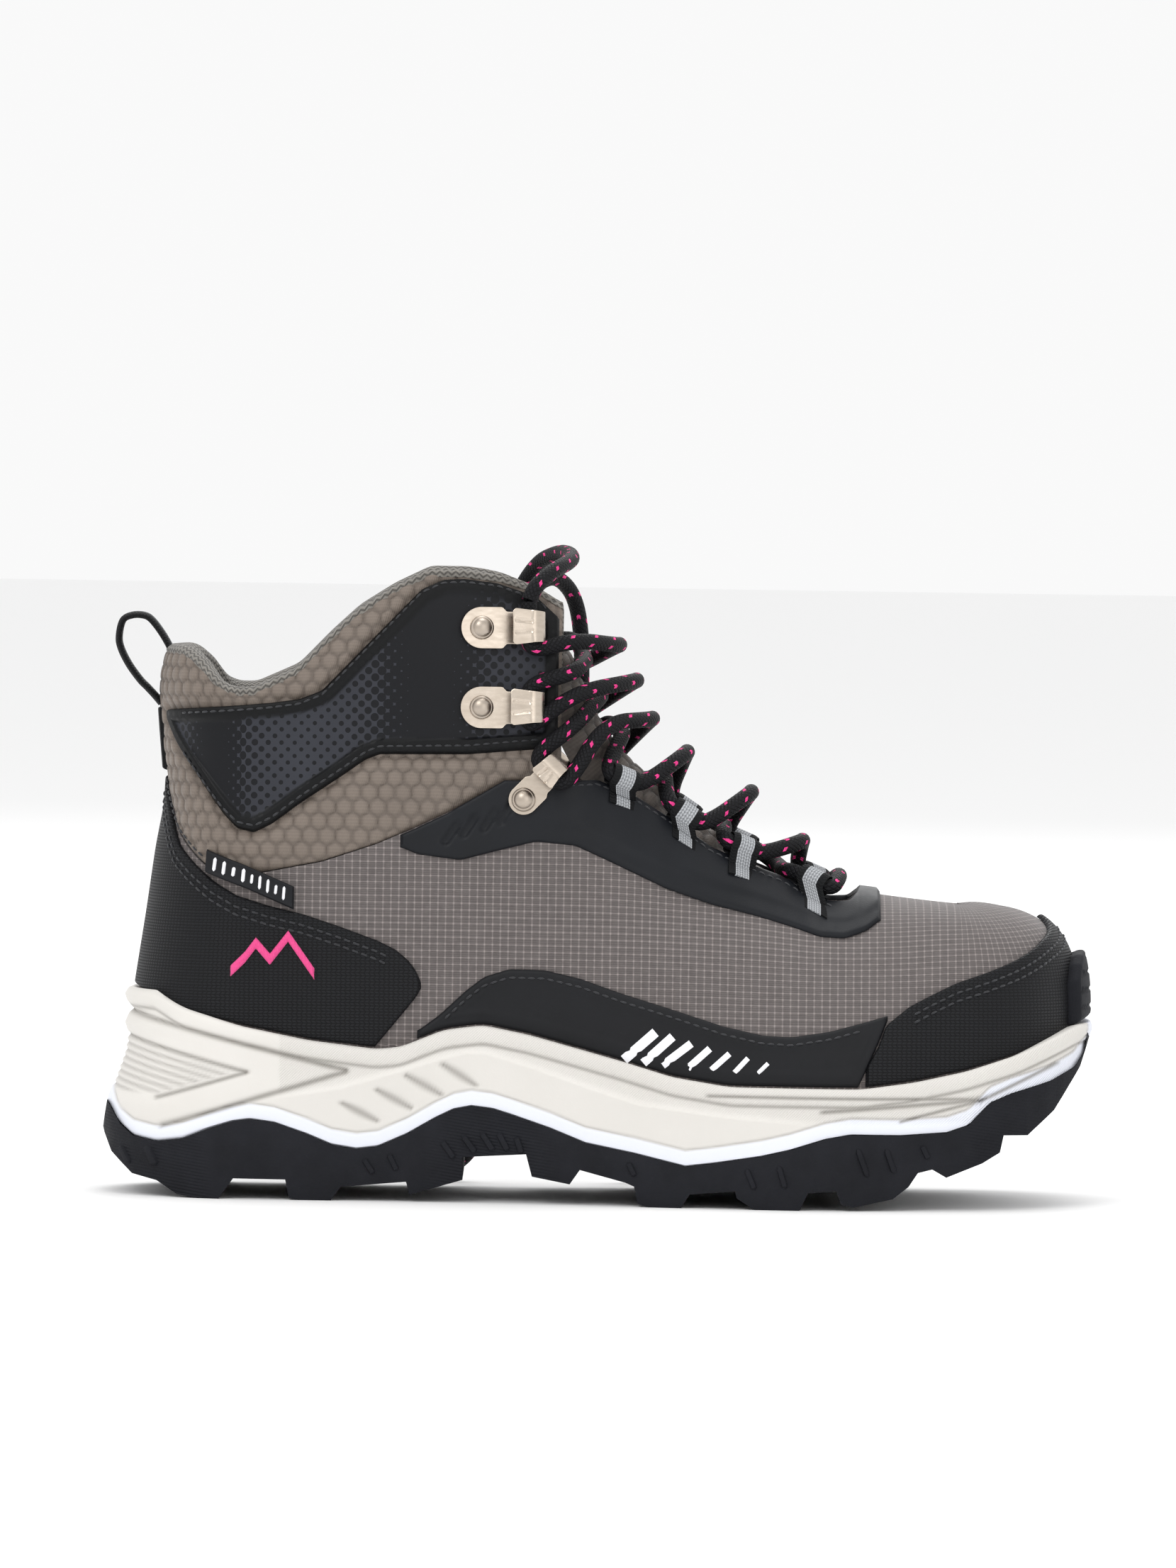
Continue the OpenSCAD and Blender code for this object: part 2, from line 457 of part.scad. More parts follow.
// Lace: two halves that start at the middle of the lowest crossing and zigzag up.
// A strand passes each loop along its tunnel and crosses over or under the other strand.
lace_sides = 8;
function loop_pass(side, x) = let (p = loop_mid(side, x), d = loop_dir(side, x)) [p - d * 6, p, p + d * 6];
function hook_pass(side, h, reach, past) = let (f = frame_at(side, h[0], h[1]),
  p = place(side, h[0], h[1], 0) + f[2] * (plate_off + plate_t + curl_r)
    + (f[0] * cos(h[2]) + f[1] * sin(h[2])) * (reach - 0.6),
  d = f[1] * cos(h[2]) - f[0] * sin(h[2])) [p - d * past, p, p + d * past];
// The lace goes round the front edge of the collar to reach a hook
pass_z = [129.1, 138.2, 143.3, 152.1];
pass_at = [-8.9, 6.9];
function collar_pass(side, z) = [place(side, pass_at[0], z, pass_at[1])];
// A crossing lies in front of the tongue, at a row of its face; lift parts the two strands
cross_rows = [2.3, 3.9, 5.6, 7.1, 8.2, 9.1];
over = [4.9, 6.1, 4.6, 4.7, 5.5, 5.3];
// On its way to the lock hook the lace passes over the end of the highest loop: station,
// height and distance off the cloth
hump = [-0.5, 127.4, 9.0];
function row_mix(r, d) = let (i = floor(r), n = tongue_dir(i + 1),
  c = tongue_rows[i] * (i + 1 - r) + tongue_rows[i + 1] * (r - i))
  [c[0] + n[0] * d, c[1] + n[1] * d, n];
function middle(k, to, lift) = let (c = row_mix(cross_rows[k], over[k] + lace_d / 2 + 0.5),
  x = c[0] + c[2][0] * lift * over[k], z = c[1] + c[2][1] * lift * over[k], y = centre_y(c[0]))
  [[x, y - to * 6, z], [x, y + to * 6, z]];
function strand(side) = concat([[66.5, centre_y(66.5) + side * 7, 91.5]],
  loop_pass(side, loop_x[0]), middle(0, -side, side),
  loop_pass(-side, loop_x[1]), middle(1, side, -side),
  loop_pass(side, loop_x[2]), middle(2, -side, side),
  loop_pass(-side, loop_x[3]), middle(3, side, -side), [place(side, hump[0], hump[1], hump[2])],
  hook_pass(side, lock_place, 11, 6.5), collar_pass(side, pass_z[0]), middle(4, -side, side),
  collar_pass(-side, pass_z[1]), hook_pass(-side, hook_places[1], 13.5, 6.5),
  collar_pass(-side, pass_z[2]),
  middle(5, side, -side), collar_pass(side, pass_z[3]), hook_pass(side, hook_places[0], 13.5, 7));
// Rounds the corners of a route by cutting each one off
function rounded(p) = concat([p[0]],
  [for (i = [0:len(p) - 2]) each [p[i] * 0.75 + p[i + 1] * 0.25, p[i] * 0.25 + p[i + 1] * 0.75]],
  [p[len(p) - 1]]);

// A round tube along points, with flat ends. Each ring keeps the turn of the one before.
function ring_dir(p, i) = unit(p[min(len(p) - 1, i + 1)] - p[max(0, i - 1)]);
function square_to(a, t) = unit(a - (a * t) * t);
module tube(p, d) {
  n = len(p);
  k = lace_sides;
  dirs = [for (i = [0:n - 1]) ring_dir(p, i)];
  first = cross(dirs[0], abs(dirs[0][1]) > 0.8 ? [1, 0, 0] : [0, 1, 0]);
  sides = [for (i = 0, a = unit(first); i < n; i = i + 1, a = square_to(a, dirs[min(i, n - 1)])) a];
  points = [for (i = [0:n - 1]) for (j = [0:k - 1])
    p[i] + d / 2 * (sides[i] * cos(360 * j / k) + cross(dirs[i], sides[i]) * sin(360 * j / k))];
  faces = concat([[for (j = [0:k - 1]) k - 1 - j]], [[for (j = [0:k - 1]) (n - 1) * k + j]],
    [for (i = [0:n - 2]) for (j = [0:k - 1]) let (e = (j + 1) % k)
      each [[i * k + j, i * k + e, (i + 1) * k + e], [i * k + j, (i + 1) * k + e, (i + 1) * k + j]]]);
  polyhedron(points, faces);
}
lace_route = rounded(concat(turned(strand(-1), true), strand(1)));
module lace() color("#15151a") tube(lace_route, lace_d);

// Lace ends: both hang down the inner side and lie on the ground beside the boot
tail_lateral = [[-22, -29.5, 168.4], [-20, -28, 173], [-15, -21, 177], [-11, -10, 179],
  [-10, 2, 180], [-11, 14, 181], [-14, 26, 181], [-20, 37, 178], [-26, 44, 168], [-28, 46, 152],
  [-28, 46, 138],
  [-28, 46, 120], [-29, 46, 100], [-30, 46, 80], [-31, 46, 60], [-32, 46, 40], [-33, 46.5, 22],
  [-36, 49, 9], [-44, 53, 3], [-56, 56, 2.3], [-70, 57, 2.3], [-84, 56, 2.3]];
tail_medial = [[-22, 24.5, 168.4], [-19, 27, 173], [-14, 33, 174], [-9, 40, 168], [-7, 43.5, 156],
  [-7, 45, 142], [-6, 46, 120], [-5, 46, 100], [-4, 46, 80], [-3, 46, 60], [-2, 47, 40],
  [0, 48, 22], [5, 52, 9], [13, 57, 3], [25, 61, 2.3], [39, 64, 2.3], [53, 66, 2.3],
  [67, 67, 2.3]];
module lace_tail_lateral() color("#15151a") tube(tail_lateral, lace_d);
module lace_tail_medial() color("#15151a") tube(tail_medial, lace_d);
aglet_len = 20;
module aglet(route) {
  p = route[len(route) - 1];
  d = ring_dir(route, len(route) - 1);
  translate(p) rotate([0, 90, atan2(d[1], d[0])]) cylinder(r = 1.9, h = aglet_len, $fn = 24);
}
module aglet_lateral() color("#101014") aglet(tail_lateral);
module aglet_medial() color("#101014") aglet(tail_medial);

// Pull loop: webbing folded in a drop shape behind the collar
loop_w = 11;
pull_outer = [[-130.6, 163], [-134.3, 163], [-137.5, 161.6], [-138.6, 156.1], [-138, 152.4],
  [-135.5, 147.8], [-131.6, 143.2], [-130.3, 141.8]];
pull_inner = [[-130.3, 143.9], [-133.5, 148.4], [-135.9, 153], [-136.4, 156], [-135.6, 160],
  [-133.4, 161.2], [-130.6, 161.2]];
module pull_loop() color("#1a1b1f") intersection() {
  across(concat(pull_outer, pull_inner), loop_w);
  // Its ends are cut back at the corners, so that it can flop to either side
  linear_extrude(200) polygon([[-130.5, 0], [-132.3, loop_w / 2], [-150, loop_w / 2],
    [-150, -loop_w / 2], [-132.3, -loop_w / 2]]);
}

// Ends of the webbing, sewn to the collar above and down the heel seam below
module loop_anchors() color("#1a1b1f") {
  across([[-130.2, 163], [-127, 161], [-124.9, 156.5], [-125.4, 155], [-126.6, 156.6],
    [-128.2, 159.4], [-130.2, 160.8]], loop_w);
  across([[-130, 141.5], [-126.9, 137.2], [-125.4, 136.4], [-125.3, 138.4], [-126.3, 140.2],
    [-130, 144.5]], loop_w);
}
module heel_tape() color("#17171b")
  layer([-136, -133.5, -131], [[-136, 118.5], [-131, 118.5]], [[-136, 136], [-131, 136]],
    flat(1), flat(glue), rows = 3, heel_join = true);

module side_tag() color("#17171b")
  layer([-110, -104, -98, -92, -86.5], [[-110, 91], [-86.5, 81]], [[-110, 97.4], [-86.5, 87.4]],
    flat(2 * glue + overlay_t + 1.4), flat(2 * glue + overlay_t), rows = 1, sides = [-1]);

// Embroidered ridge line on the heel
badge_lo = [[-103, 62], [-97, 70], [-93, 65.5], [-88, 72], [-80.5, 61.5]];
module heel_badge() color("#ee4f95")
  layer([for (p = badge_lo) p[0]], badge_lo, [for (p = badge_lo) [p[0], p[1] + 3.2]],
    flat(2 * glue + overlay_t + 0.6), flat(2 * glue + overlay_t), rows = 1, sides = [-1]);

outsole();
midsole();
shank();
insole_board();
footbed();
ripstop_upper();
lining();
heel_counter();
toe_puff();
heel_cap();
toe_cap();
toe_bumper();
mudguard_lateral();
mudguard_medial();
guard_bars();
eyestay_overlay();
collar_shell();
collar_foam();
collar_lining();
ankle_overlay_lateral();
ankle_overlay_medial();
tongue_face();
tongue_padding();
webbing_loops();
speed_hooks();
lock_hooks();
hook_rivets();
rivet_washers();
lace();
lace_tail_lateral();
lace_tail_medial();
aglet_lateral();
aglet_medial();
pull_loop();
loop_anchors();
heel_tape();
side_tag();
heel_badge();
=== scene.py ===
# %% [markdown]
# # A mid-cut hiking boot
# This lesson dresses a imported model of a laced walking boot: a rubber outsole, a foam
# midsole, a cloth upper with glued and stitched overlays, a padded collar and tongue, metal
# hooks and a round lace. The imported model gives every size. Each cell makes one kind of piece.

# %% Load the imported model
import json
import math
import bpy
import numpy as np
from mathutils import Matrix, Vector

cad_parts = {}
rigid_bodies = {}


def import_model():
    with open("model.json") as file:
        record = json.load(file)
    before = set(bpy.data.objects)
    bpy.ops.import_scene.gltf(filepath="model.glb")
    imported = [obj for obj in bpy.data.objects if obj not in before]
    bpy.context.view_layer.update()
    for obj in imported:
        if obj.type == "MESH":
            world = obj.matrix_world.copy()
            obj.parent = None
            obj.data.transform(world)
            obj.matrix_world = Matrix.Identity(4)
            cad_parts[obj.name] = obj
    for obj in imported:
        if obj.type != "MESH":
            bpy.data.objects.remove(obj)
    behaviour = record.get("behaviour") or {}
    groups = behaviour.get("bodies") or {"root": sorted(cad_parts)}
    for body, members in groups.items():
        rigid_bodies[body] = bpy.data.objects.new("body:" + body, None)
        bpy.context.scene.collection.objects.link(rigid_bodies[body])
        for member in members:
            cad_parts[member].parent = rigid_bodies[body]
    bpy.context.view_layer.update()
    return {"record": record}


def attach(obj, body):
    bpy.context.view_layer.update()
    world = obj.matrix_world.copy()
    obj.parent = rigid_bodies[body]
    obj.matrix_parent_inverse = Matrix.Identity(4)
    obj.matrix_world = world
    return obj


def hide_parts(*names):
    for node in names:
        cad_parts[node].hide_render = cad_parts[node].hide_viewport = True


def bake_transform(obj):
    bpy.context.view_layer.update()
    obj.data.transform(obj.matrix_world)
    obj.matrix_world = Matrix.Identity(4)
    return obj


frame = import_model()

MM = 0.001
BODY = "boot"

# %% [markdown]
# ## Camera and light
# The boot is seen square from its outer side, from far enough away that the near side isn't
# enlarged. A pale seamless floor and large soft lamps show dark cloth and pale foam alike.
# The camera comes first, because the loose ends of the lace are judged from it.

# %% Camera
CAM_AWAY, CAM_UP, FRAME_TALL, ROLL = 4.0, 2.2, 0.4424, 0.85
AIM = Vector((-0.0047, 0, 0.1163))


def aimed(thing, place, target, roll=0.0):
    """Puts a lamp or camera at a place, looking at a target."""
    turn = (target - place).to_track_quat("-Z", "Y").to_matrix().to_4x4()
    thing.matrix_world = Matrix.Translation(place) @ turn @ Matrix.Rotation(math.radians(roll), 4, "Z")
    bpy.context.scene.collection.objects.link(thing)


lens = bpy.data.cameras.new("camera")
lens.sensor_fit = "AUTO"
lens.lens = 36 * CAM_AWAY / FRAME_TALL
lens.clip_end = 30
camera = bpy.data.objects.new("camera", lens)
lift = math.radians(CAM_UP)
spot = AIM + CAM_AWAY * Vector((0, -math.cos(lift), math.sin(lift)))
aimed(camera, spot, AIM, ROLL)
bpy.context.scene.camera = camera
print("camera at", [round(v, 2) for v in spot])

# %% Floor and soft lamps
bpy.ops.object.select_all(action="DESELECT")
bpy.ops.mesh.primitive_plane_add(size=14, location=(0, 0, 0))
floor = bpy.context.object
floor.name = "floor"
bpy.ops.object.transform_apply(location=True, rotation=False, scale=False)
paper = bpy.data.materials.new("pale_paper")
paper.use_nodes = True
paper.node_tree.nodes["Principled BSDF"].inputs["Base Color"].default_value = (0.93, 0.93, 0.93, 1)
paper.node_tree.nodes["Principled BSDF"].inputs["Roughness"].default_value = 0.8
floor.data.materials.append(paper)

for name, place, size, power in [
        ("key", (-0.9, -1.6, 1.7), 1.0, 12), ("front", (0.9, -2.2, 0.7), 1.4, 5),
        ("back", (0.2, 1.8, 1.3), 1.2, 10), ("top", (0.1, 0.1, 1.9), 1.0, 9)]:
    lamp = bpy.data.lights.new(name, "AREA")
    lamp.size, lamp.energy = size, power
    aimed(bpy.data.objects.new(name, lamp), Vector(place), Vector((0, 0, 0.08)))
world = bpy.data.worlds.new("studio")
world.use_nodes = True
world.node_tree.nodes["Background"].inputs["Color"].default_value = (1, 1, 1, 1)
world.node_tree.nodes["Background"].inputs["Strength"].default_value = 0.95
bpy.context.scene.world = world
bpy.context.scene.view_settings.view_transform = "Standard"
print("4 lamps")

# %% [markdown]
# ## Shader maths as plain sums
# A finish is built from many small values: a thread pattern, its height, its colour. One
# small class wraps a socket, so that such values can be added and multiplied like numbers,
# and one method adds any other node.

# %% A value in a material
class Value:
    def __init__(self, finish, socket):
        self.finish, self.socket = finish, socket

    def __add__(self, b): return self.finish.maths("ADD", self, b)
    __radd__ = __add__
    def __sub__(self, b): return self.finish.maths("SUBTRACT", self, b)
    def __rsub__(self, b): return self.finish.maths("SUBTRACT", b, self)
    def __mul__(self, b): return self.finish.maths("MULTIPLY", self, b)
    __rmul__ = __mul__
    def __truediv__(self, b): return self.finish.maths("DIVIDE", self, b)
    def __gt__(self, b): return self.finish.maths("GREATER_THAN", self, b)
    def __lt__(self, b): return self.finish.maths("LESS_THAN", self, b)


# %% A finish
class Finish:
    """One material, made of a colour, a roughness and what is built on them."""
    def __init__(self, name, colour, rough=0.6, **fixed):
        self.material = bpy.data.materials.new(name)
        self.material.use_nodes = True
        self.tree = self.material.node_tree
        self.shader = self.tree.nodes["Principled BSDF"]
        self.feed(self.shader.inputs["Base Color"], tint(colour))
        self.feed(self.shader.inputs["Roughness"], rough)
        for key, number in fixed.items():
            self.shader.inputs[key.replace("_", " ")].default_value = number

    def feed(self, socket, value):
        if isinstance(value, Value):
            self.tree.links.new(value.socket, socket)
        else:
            socket.default_value = value

    def node(self, kind, settings=None, sockets=None, out=0):
        made = self.tree.nodes.new(kind)
        for key, value in (settings or {}).items():
            setattr(made, key, value)
        for key, value in (sockets or {}).items():
            self.feed(made.inputs[key], value)
        return Value(self, made.outputs[out])

    def maths(self, operation, *values):
        return self.node("ShaderNodeMath", {"operation": operation}, dict(enumerate(values)))

    def blend(self, amount, a, b):
        """Colour a where amount is 0, colour b where it is 1."""
        return self.node("ShaderNodeMix", {"data_type": "RGBA"},
                         {0: amount, 6: tint(a), 7: tint(b)}, out=2)

    def along(self):
        """The piece's own two measures along its surface, in millimetres."""
        cut = self.node("ShaderNodeUVMap", {"uv_map": "cloth"})
        split = [self.node("ShaderNodeSeparateXYZ", None, {0: cut}, out=k) for k in (0, 1)]
        return split[0] * 100, split[1] * 100

    def speckle(self, size, detail=3.0, stretch=(1, 1, 1)):
        """Noise of about the given grain, in metres, fixed in the piece."""
        place = self.node("ShaderNodeTexCoord", out=3)
        place = self.node("ShaderNodeMapping", None, {0: place, 3: stretch})
        return self.node("ShaderNodeTexNoise", None, {0: place, "Scale": 1 / size, "Detail": detail})

    def line(self, x, pitch, width):
        """1 on lines a pitch apart, falling to 0 at their width."""
        return self.maths("MAXIMUM", 1 - self.maths("PINGPONG", x, pitch / 2) / width, 0.0)

    def note(self, name):
        """A measure that was stored on the mesh."""
        return self.node("ShaderNodeAttribute", {"attribute_name": name}, out=2)

    def raise_by(self, height):
        """Height in millimetres becomes bumps."""
        bump = self.node("ShaderNodeBump", None, {"Height": height * MM, "Distance": 1.0, "Strength": 1.0})
        self.feed(self.shader.inputs["Normal"], bump)

    def paint(self, colour):
        self.feed(self.shader.inputs["Base Color"], tint(colour))

    def rough(self, value):
        self.feed(self.shader.inputs["Roughness"], value)


def tint(colour):
    """A colour written like #a1b2c3 as the numbers that a shader takes."""
    if not isinstance(colour, str):
        return colour
    parts = [int(colour[k:k + 2], 16) / 255 for k in (1, 3, 5)]
    return (*[v / 12.92 if v < 0.04045 else ((v + 0.055) / 1.055) ** 2.4 for v in parts], 1)


print("finish kit ready")

# %% [markdown]
# ## Finishes
# Every cloth gets its threads, every rubber its grain. The patterns follow each piece's own
# measures in millimetres, so that a weave runs along the cloth and keeps its real size.

# %% Cloths
def ripstop_finish():
    f = Finish("ripstop_cloth", "#6b6463", 0.75, Sheen_Weight=0.15, Sheen_Roughness=0.5)
    u, v = f.along()
    thread = f.maths("MAXIMUM", f.line(u, 2.2, 0.28), f.line(v, 1.9, 0.26))
    fine = f.line(v + f.speckle(0.004) * 0.5, 0.62, 0.31)
    knot = f.line(u, 2.2, 0.42) * f.line(v, 1.9, 0.42)
    shade = f.blend(f.speckle(0.002, 4) * 0.5, "#4e4847", "#837b79")
    shade = f.blend(fine * 0.45, shade, "#3d3837")
    f.paint(f.blend(thread * 0.3 + knot * 0.5, shade, "#aca29f"))
    f.raise_by(thread * 0.08 + fine * -0.06 + f.speckle(0.0012) * 0.08)
    return f.material


def hex_finish(name, face, groove, shine):
    f = Finish(name, face, 0.62, Sheen_Weight=0.2, Sheen_Roughness=0.4)
    u, v = f.along()
    fine = f.line(u + v * 0.3, 0.55, 0.28)
    low = f.note("low")
    shade = f.blend(f.speckle(0.012) * 0.6, face, shine)
    shade = f.blend(f.line(v, 0.9, 0.45) * 0.22, shade, groove)
    # Painted shade: where the low note is set, in the grooves between the pressed cells, the cloth takes the
    # groove colour. The same colour also tints the fine woven lines above.
    f.paint(f.blend(low, shade, groove))
    f.raise_by(fine * 0.05 + f.speckle(0.0008) * 0.06)
    return f.material


def mesh_finish():
    f = Finish("spacer_mesh", "#6b6863", 0.85, Sheen_Weight=0.2)
    u, v = f.along()
    rib = f.line(v + f.maths("PINGPONG", u, 1.1) * 0.8, 1.5, 0.5)
    f.paint(f.blend(rib, f.blend(f.speckle(0.003), "#6f6b66", "#8b8780"), "#45423e"))
    f.raise_by(rib * -0.35 + f.speckle(0.0007) * 0.1)
    return f.material


def webbing_finish(name, centre, half, side="#0e0f11"):
    """Black webbing with a paler stripe woven along its middle."""
    f = Finish(name, side, 0.7, Specular_IOR_Level=0.2)
    u, v = f.along()
    rib = f.line(u + f.maths("PINGPONG", v, 0.7) * 0.6, 0.9, 0.4)
    middle = f.maths("ABSOLUTE", v) < half
    tone = f.blend(middle, side, f.blend(f.line(v, 0.8, 0.3) * 0.6, centre, "#3a3b3e"))
    f.paint(f.blend(rib * 0.4, tone, "#08090a"))
    f.raise_by(rib * -0.12)
    return f.material


print("cloth finishes ready")

# %% Coated and moulded layers
def grain_finish(name="embossed_synthetic", pitch=1.35):
    f = Finish(name, "#0c0c0f", 0.5, Specular_IOR_Level=0.22)
    u, v = f.along()
    row = f.line(v, pitch * 0.62, 0.28)
    cell = f.line(u + f.maths("PINGPONG", v, pitch * 0.62) * 0.9, pitch, 0.3)
    dent = f.maths("MAXIMUM", row, cell)
    f.paint(f.blend(dent * 0.8 + f.speckle(0.004) * 0.25, "#17181c", "#030304"))
    f.rough(0.42 + dent * 0.3)
    f.raise_by(dent * -0.13 + f.speckle(0.0006) * 0.03)
    return f.material


def smooth_finish(name, colour, pale, rough=0.48):
    f = Finish(name, colour, rough, Specular_IOR_Level=0.25)
    haze = f.speckle(0.015, 4)
    f.paint(f.blend(haze, colour, pale))
    f.rough(rough + f.speckle(0.003) * 0.12)
    f.raise_by(f.speckle(0.0005, 2) * 0.035)
    return f.material


def dotted_finish():
    """Moulded film printed with dots that swell towards two places, its rim left plain."""
    f = Finish("dotted_film", "#36373d", 0.5, Specular_IOR_Level=0.2)
    u, v = f.along()
    pitch = 3.7
    spots = None
    for shift in (0.0, 0.5):
        a = f.maths("PINGPONG", u + shift * pitch + 200 * pitch, pitch / 2)
        b = f.maths("PINGPONG", v + shift * pitch + 200 * pitch, pitch / 2)
        near = f.maths("SQRT", a * a + b * b)
        spots = near if spots is None else f.maths("MINIMUM", spots, near)
    dot = f.maths("LESS_THAN", spots, f.note("dot"))
    field = f.blend(f.speckle(0.02), "#2b2c32", "#36383f")
    f.paint(f.blend(f.note("rim"), f.blend(dot, field, "#101115"), "#08090b"))
    f.rough(0.52 - dot * 0.12)
    f.raise_by(dot * 0.12 + f.speckle(0.0005, 2) * 0.03)
    return f.material


def foam_finish():
    f = Finish("midsole_foam", "#dcd9d3", 0.5, Specular_IOR_Level=0.4)
    u, v = f.along()
    weave = f.line(u + v, 0.8, 0.3) * f.note("weave")
    tone = f.blend(f.speckle(0.03, 4) * 0.6, "#e0ddd8", "#cfcbc4")
    tone = f.blend(f.note("band"), tone, "#e6e9f2")
    # Painted shade: the low note turns the foam grey in its grooves and slashes, under the top bead and along
    # the band's seam.
    f.paint(f.blend(f.note("low"), tone, "#8b8781"))
    f.rough(0.45 + f.speckle(0.002) * 0.15)
    f.raise_by(weave * -0.12 + f.speckle(0.0007) * 0.03)
    return f.material


def rubber_finish():
    f = Finish("outsole_rubber", "#17181d", 0.68, Specular_IOR_Level=0.2)
    u, v = f.along()
    fine = f.line(v + u * 0.15, 0.9, 0.35) * f.note("ribbed")
    f.paint(f.blend(f.speckle(0.008, 5), "#101115", "#1f2026"))
    f.rough(0.62 + f.speckle(0.002) * 0.2)
    f.raise_by(f.speckle(0.0006, 4) * 0.14 + fine * -0.2)
    return f.material


print("layer finishes ready")

# %% Metal, thread, lace and hidden pieces
def nickel_finish(name="warm_nickel", colour="#d9cdbf", rough=0.22):
    f = Finish(name, colour, rough, Metallic=1.0)
    scuff = f.speckle(0.003, 5, (1, 1, 3))
    f.paint(f.blend(scuff, colour, "#b5a899"))
    f.rough(rough + scuff * 0.14)
    f.raise_by(f.speckle(0.002, 2) * 0.02)
    return f.material


def thread_finish(name, colour, dark):
    f = Finish(name, colour, 0.6, Sheen_Weight=0.2)
    f.paint(f.blend(f.speckle(0.0006, 3), colour, dark))
    f.raise_by(f.speckle(0.0004, 2) * 0.08)
    return f.material


def lace_finish():
    """Braid measured along the lace (u) and round it (v), with pairs of pink flecks."""
    f = Finish("lace_braid", "#0a0a0d", 0.62, Specular_IOR_Level=0.2)
    u, v = f.along()
    braid = f.maths("MAXIMUM", f.line(u + v, 1.5, 0.35), f.line(u - v, 1.5, 0.35))
    tone = f.blend(braid * 0.7 + f.speckle(0.001) * 0.2, "#131317", "#020203")
    fleck = f.line(u + v * 0.8, 8.5, 0.9) > 0.3
    fleck = fleck * (f.line(v - 1.2, 2.9, 0.7) > 0.3)
    f.paint(f.blend(fleck, tone, "#ef3f90"))
    f.raise_by(braid * -0.22)
    return f.material


def plain_finish(name, colour, pale, grain=0.002, rough=0.7):
    f = Finish(name, colour, rough)
    f.paint(f.blend(f.speckle(grain, 4), colour, pale))
    f.raise_by(f.speckle(grain / 3, 3) * 0.1)
    return f.material


FINISH = {
    "ripstop": ripstop_finish(), "lining_cloth": plain_finish("lining_knit", "#54535a", "#6a6970"),
    "hex_cloth": hex_finish("hex_cloth", "#6f645b", "#4b423b", "#8b7f74"),
    "tongue_cloth": hex_finish("tongue_cloth", "#5f5751", "#2c2825", "#7d746c"),
    "mesh_lining": mesh_finish(), "webbing": webbing_finish("webbing", "#8d9093", 1.7),
    "loop_webbing": webbing_finish("loop_webbing", "#b9bcc0", 2.2),
    "embossed_synthetic": grain_finish(), "outsole_rubber": rubber_finish(),
    "smooth_film": smooth_finish("smooth_film", "#0c0d10", "#15161a"),
    "moulded_overlay": smooth_finish("moulded_overlay", "#0a0c10", "#14171d", 0.42),
    "printed_overlay": dotted_finish(), "midsole_foam": foam_finish(),
    "white_print": smooth_finish("white_print", "#e6e6ea", "#f4f4f8", 0.5),
    "nickel": nickel_finish(), "rivet_nickel": nickel_finish("rivet_nickel", "#b3a99f", 0.3),
    "lace_braid": lace_finish(), "aglet_film": smooth_finish("aglet_film", "#101014", "#1c1c22", 0.2),
    "pink_thread": thread_finish("pink_thread", "#ee4f95", "#d8327c"),
    "black_thread": thread_finish("black_thread", "#101115", "#26282e"),
    "tag_rubber": smooth_finish("tag_rubber", "#101114", "#1b1c20", 0.55),
    "foam": plain_finish("collar_foam", "#8b8d92", "#a0a2a6"),
    "board": plain_finish("fibre_board", "#b8a888", "#cdbf9f"),
    "shank_nylon": plain_finish("shank_nylon", "#9a9ca0", "#acaeb2"),
    "stiffener": plain_finish("stiffener", "#c9c2b0", "#d8d2c2"),
    "footbed_foam": mesh_finish(),
}
for row in frame["record"]["subparts"]:
    if row["material_slot"] in FINISH:
        dressed = bpy.data.objects[row["node"]]
        dressed.data.materials.clear()
        dressed.data.materials.append(FINISH[row["material_slot"]])
print(len(FINISH), "finishes")

# %% [markdown]
# ## The surface of the last
# Every layer of the upper lies on one smooth body, the last. Its cross sections are rounded
# squares whose width, foot and crown change along the boot, with a fan of stations round the
# heel and round the toe. Working on that surface keeps each layer a set distance off the one
# below, which no free modelling would.

# %% Tables of the last
def table(rows, ease=0.0):
    """A measure along the boot, in millimetres, eased over its corners."""
    a = np.array(rows, float)
    steps = np.linspace(-1, 1, 9)
    weight = 0.5 + 0.5 * np.cos(np.pi * steps * 0.9)

    def read(x):
        x = np.asarray(x, float)
        if not ease:
            return np.interp(x, a[:, 0], a[:, 1])
        near = (w * np.interp(x + ease * s, a[:, 0], a[:, 1]) for w, s in zip(weight, steps))
        return sum(near) / weight.sum()
    return read


half_w = table([[-100, 37], [-60, 35.5], [-20, 35], [20, 42], [55, 49.5], [75, 50], [100, 45.5]], 20)
centre_y = table([[-140, 0], [-100, 0], [-60, -1.5], [-20, -4], [20, -5], [55, -2.5], [85, 1],
                  [110, 4], [140, 7]], 20)
feather = table([[-132, 58.5], [-120, 53], [-101, 48.5], [-82, 44.8], [-63, 42.6], [-56, 43.3],
                 [-44, 48.3], [-33, 49.8], [-20, 47.3], [5, 40.8], [20, 36.5], [36, 34.1], [73, 34],
                 [88, 36], [102, 39], [117, 43.7], [135, 51.6]], 4)
crown = table([[-140, 420], [-95, 400], [-60, 290], [-45, 240], [-30, 205], [-12, 188], [-2, 150],
               [10, 127], [20, 116], [30, 107.5], [40, 99], [50, 92.5], [58, 88.5], [70, 87.2],
               [80, 86], [90, 85], [100, 84], [140, 84]], 4)
squareness = table([[-140, 2.3], [-20, 2.2], [0, 1.9], [20, 1.85], [65, 1.95], [85, 2.3], [105, 3],
                    [140, 3]], 3)
slimming = table([[80, 1], [115, 0.94], [140, 0.95], [180, 1]], 5)
heel_back = table([[40, 31.5], [58, 30.5], [79, 27.4], [97, 25], [109, 22.8], [118, 22.4],
                   [131, 23.6], [140, 24.3], [156, 23.4]], 4)
HEEL, TOE, TIP = -100.0, 100.0, 33.5
print("sole is", 2 * float(half_w(60)), "mm wide at the ball")


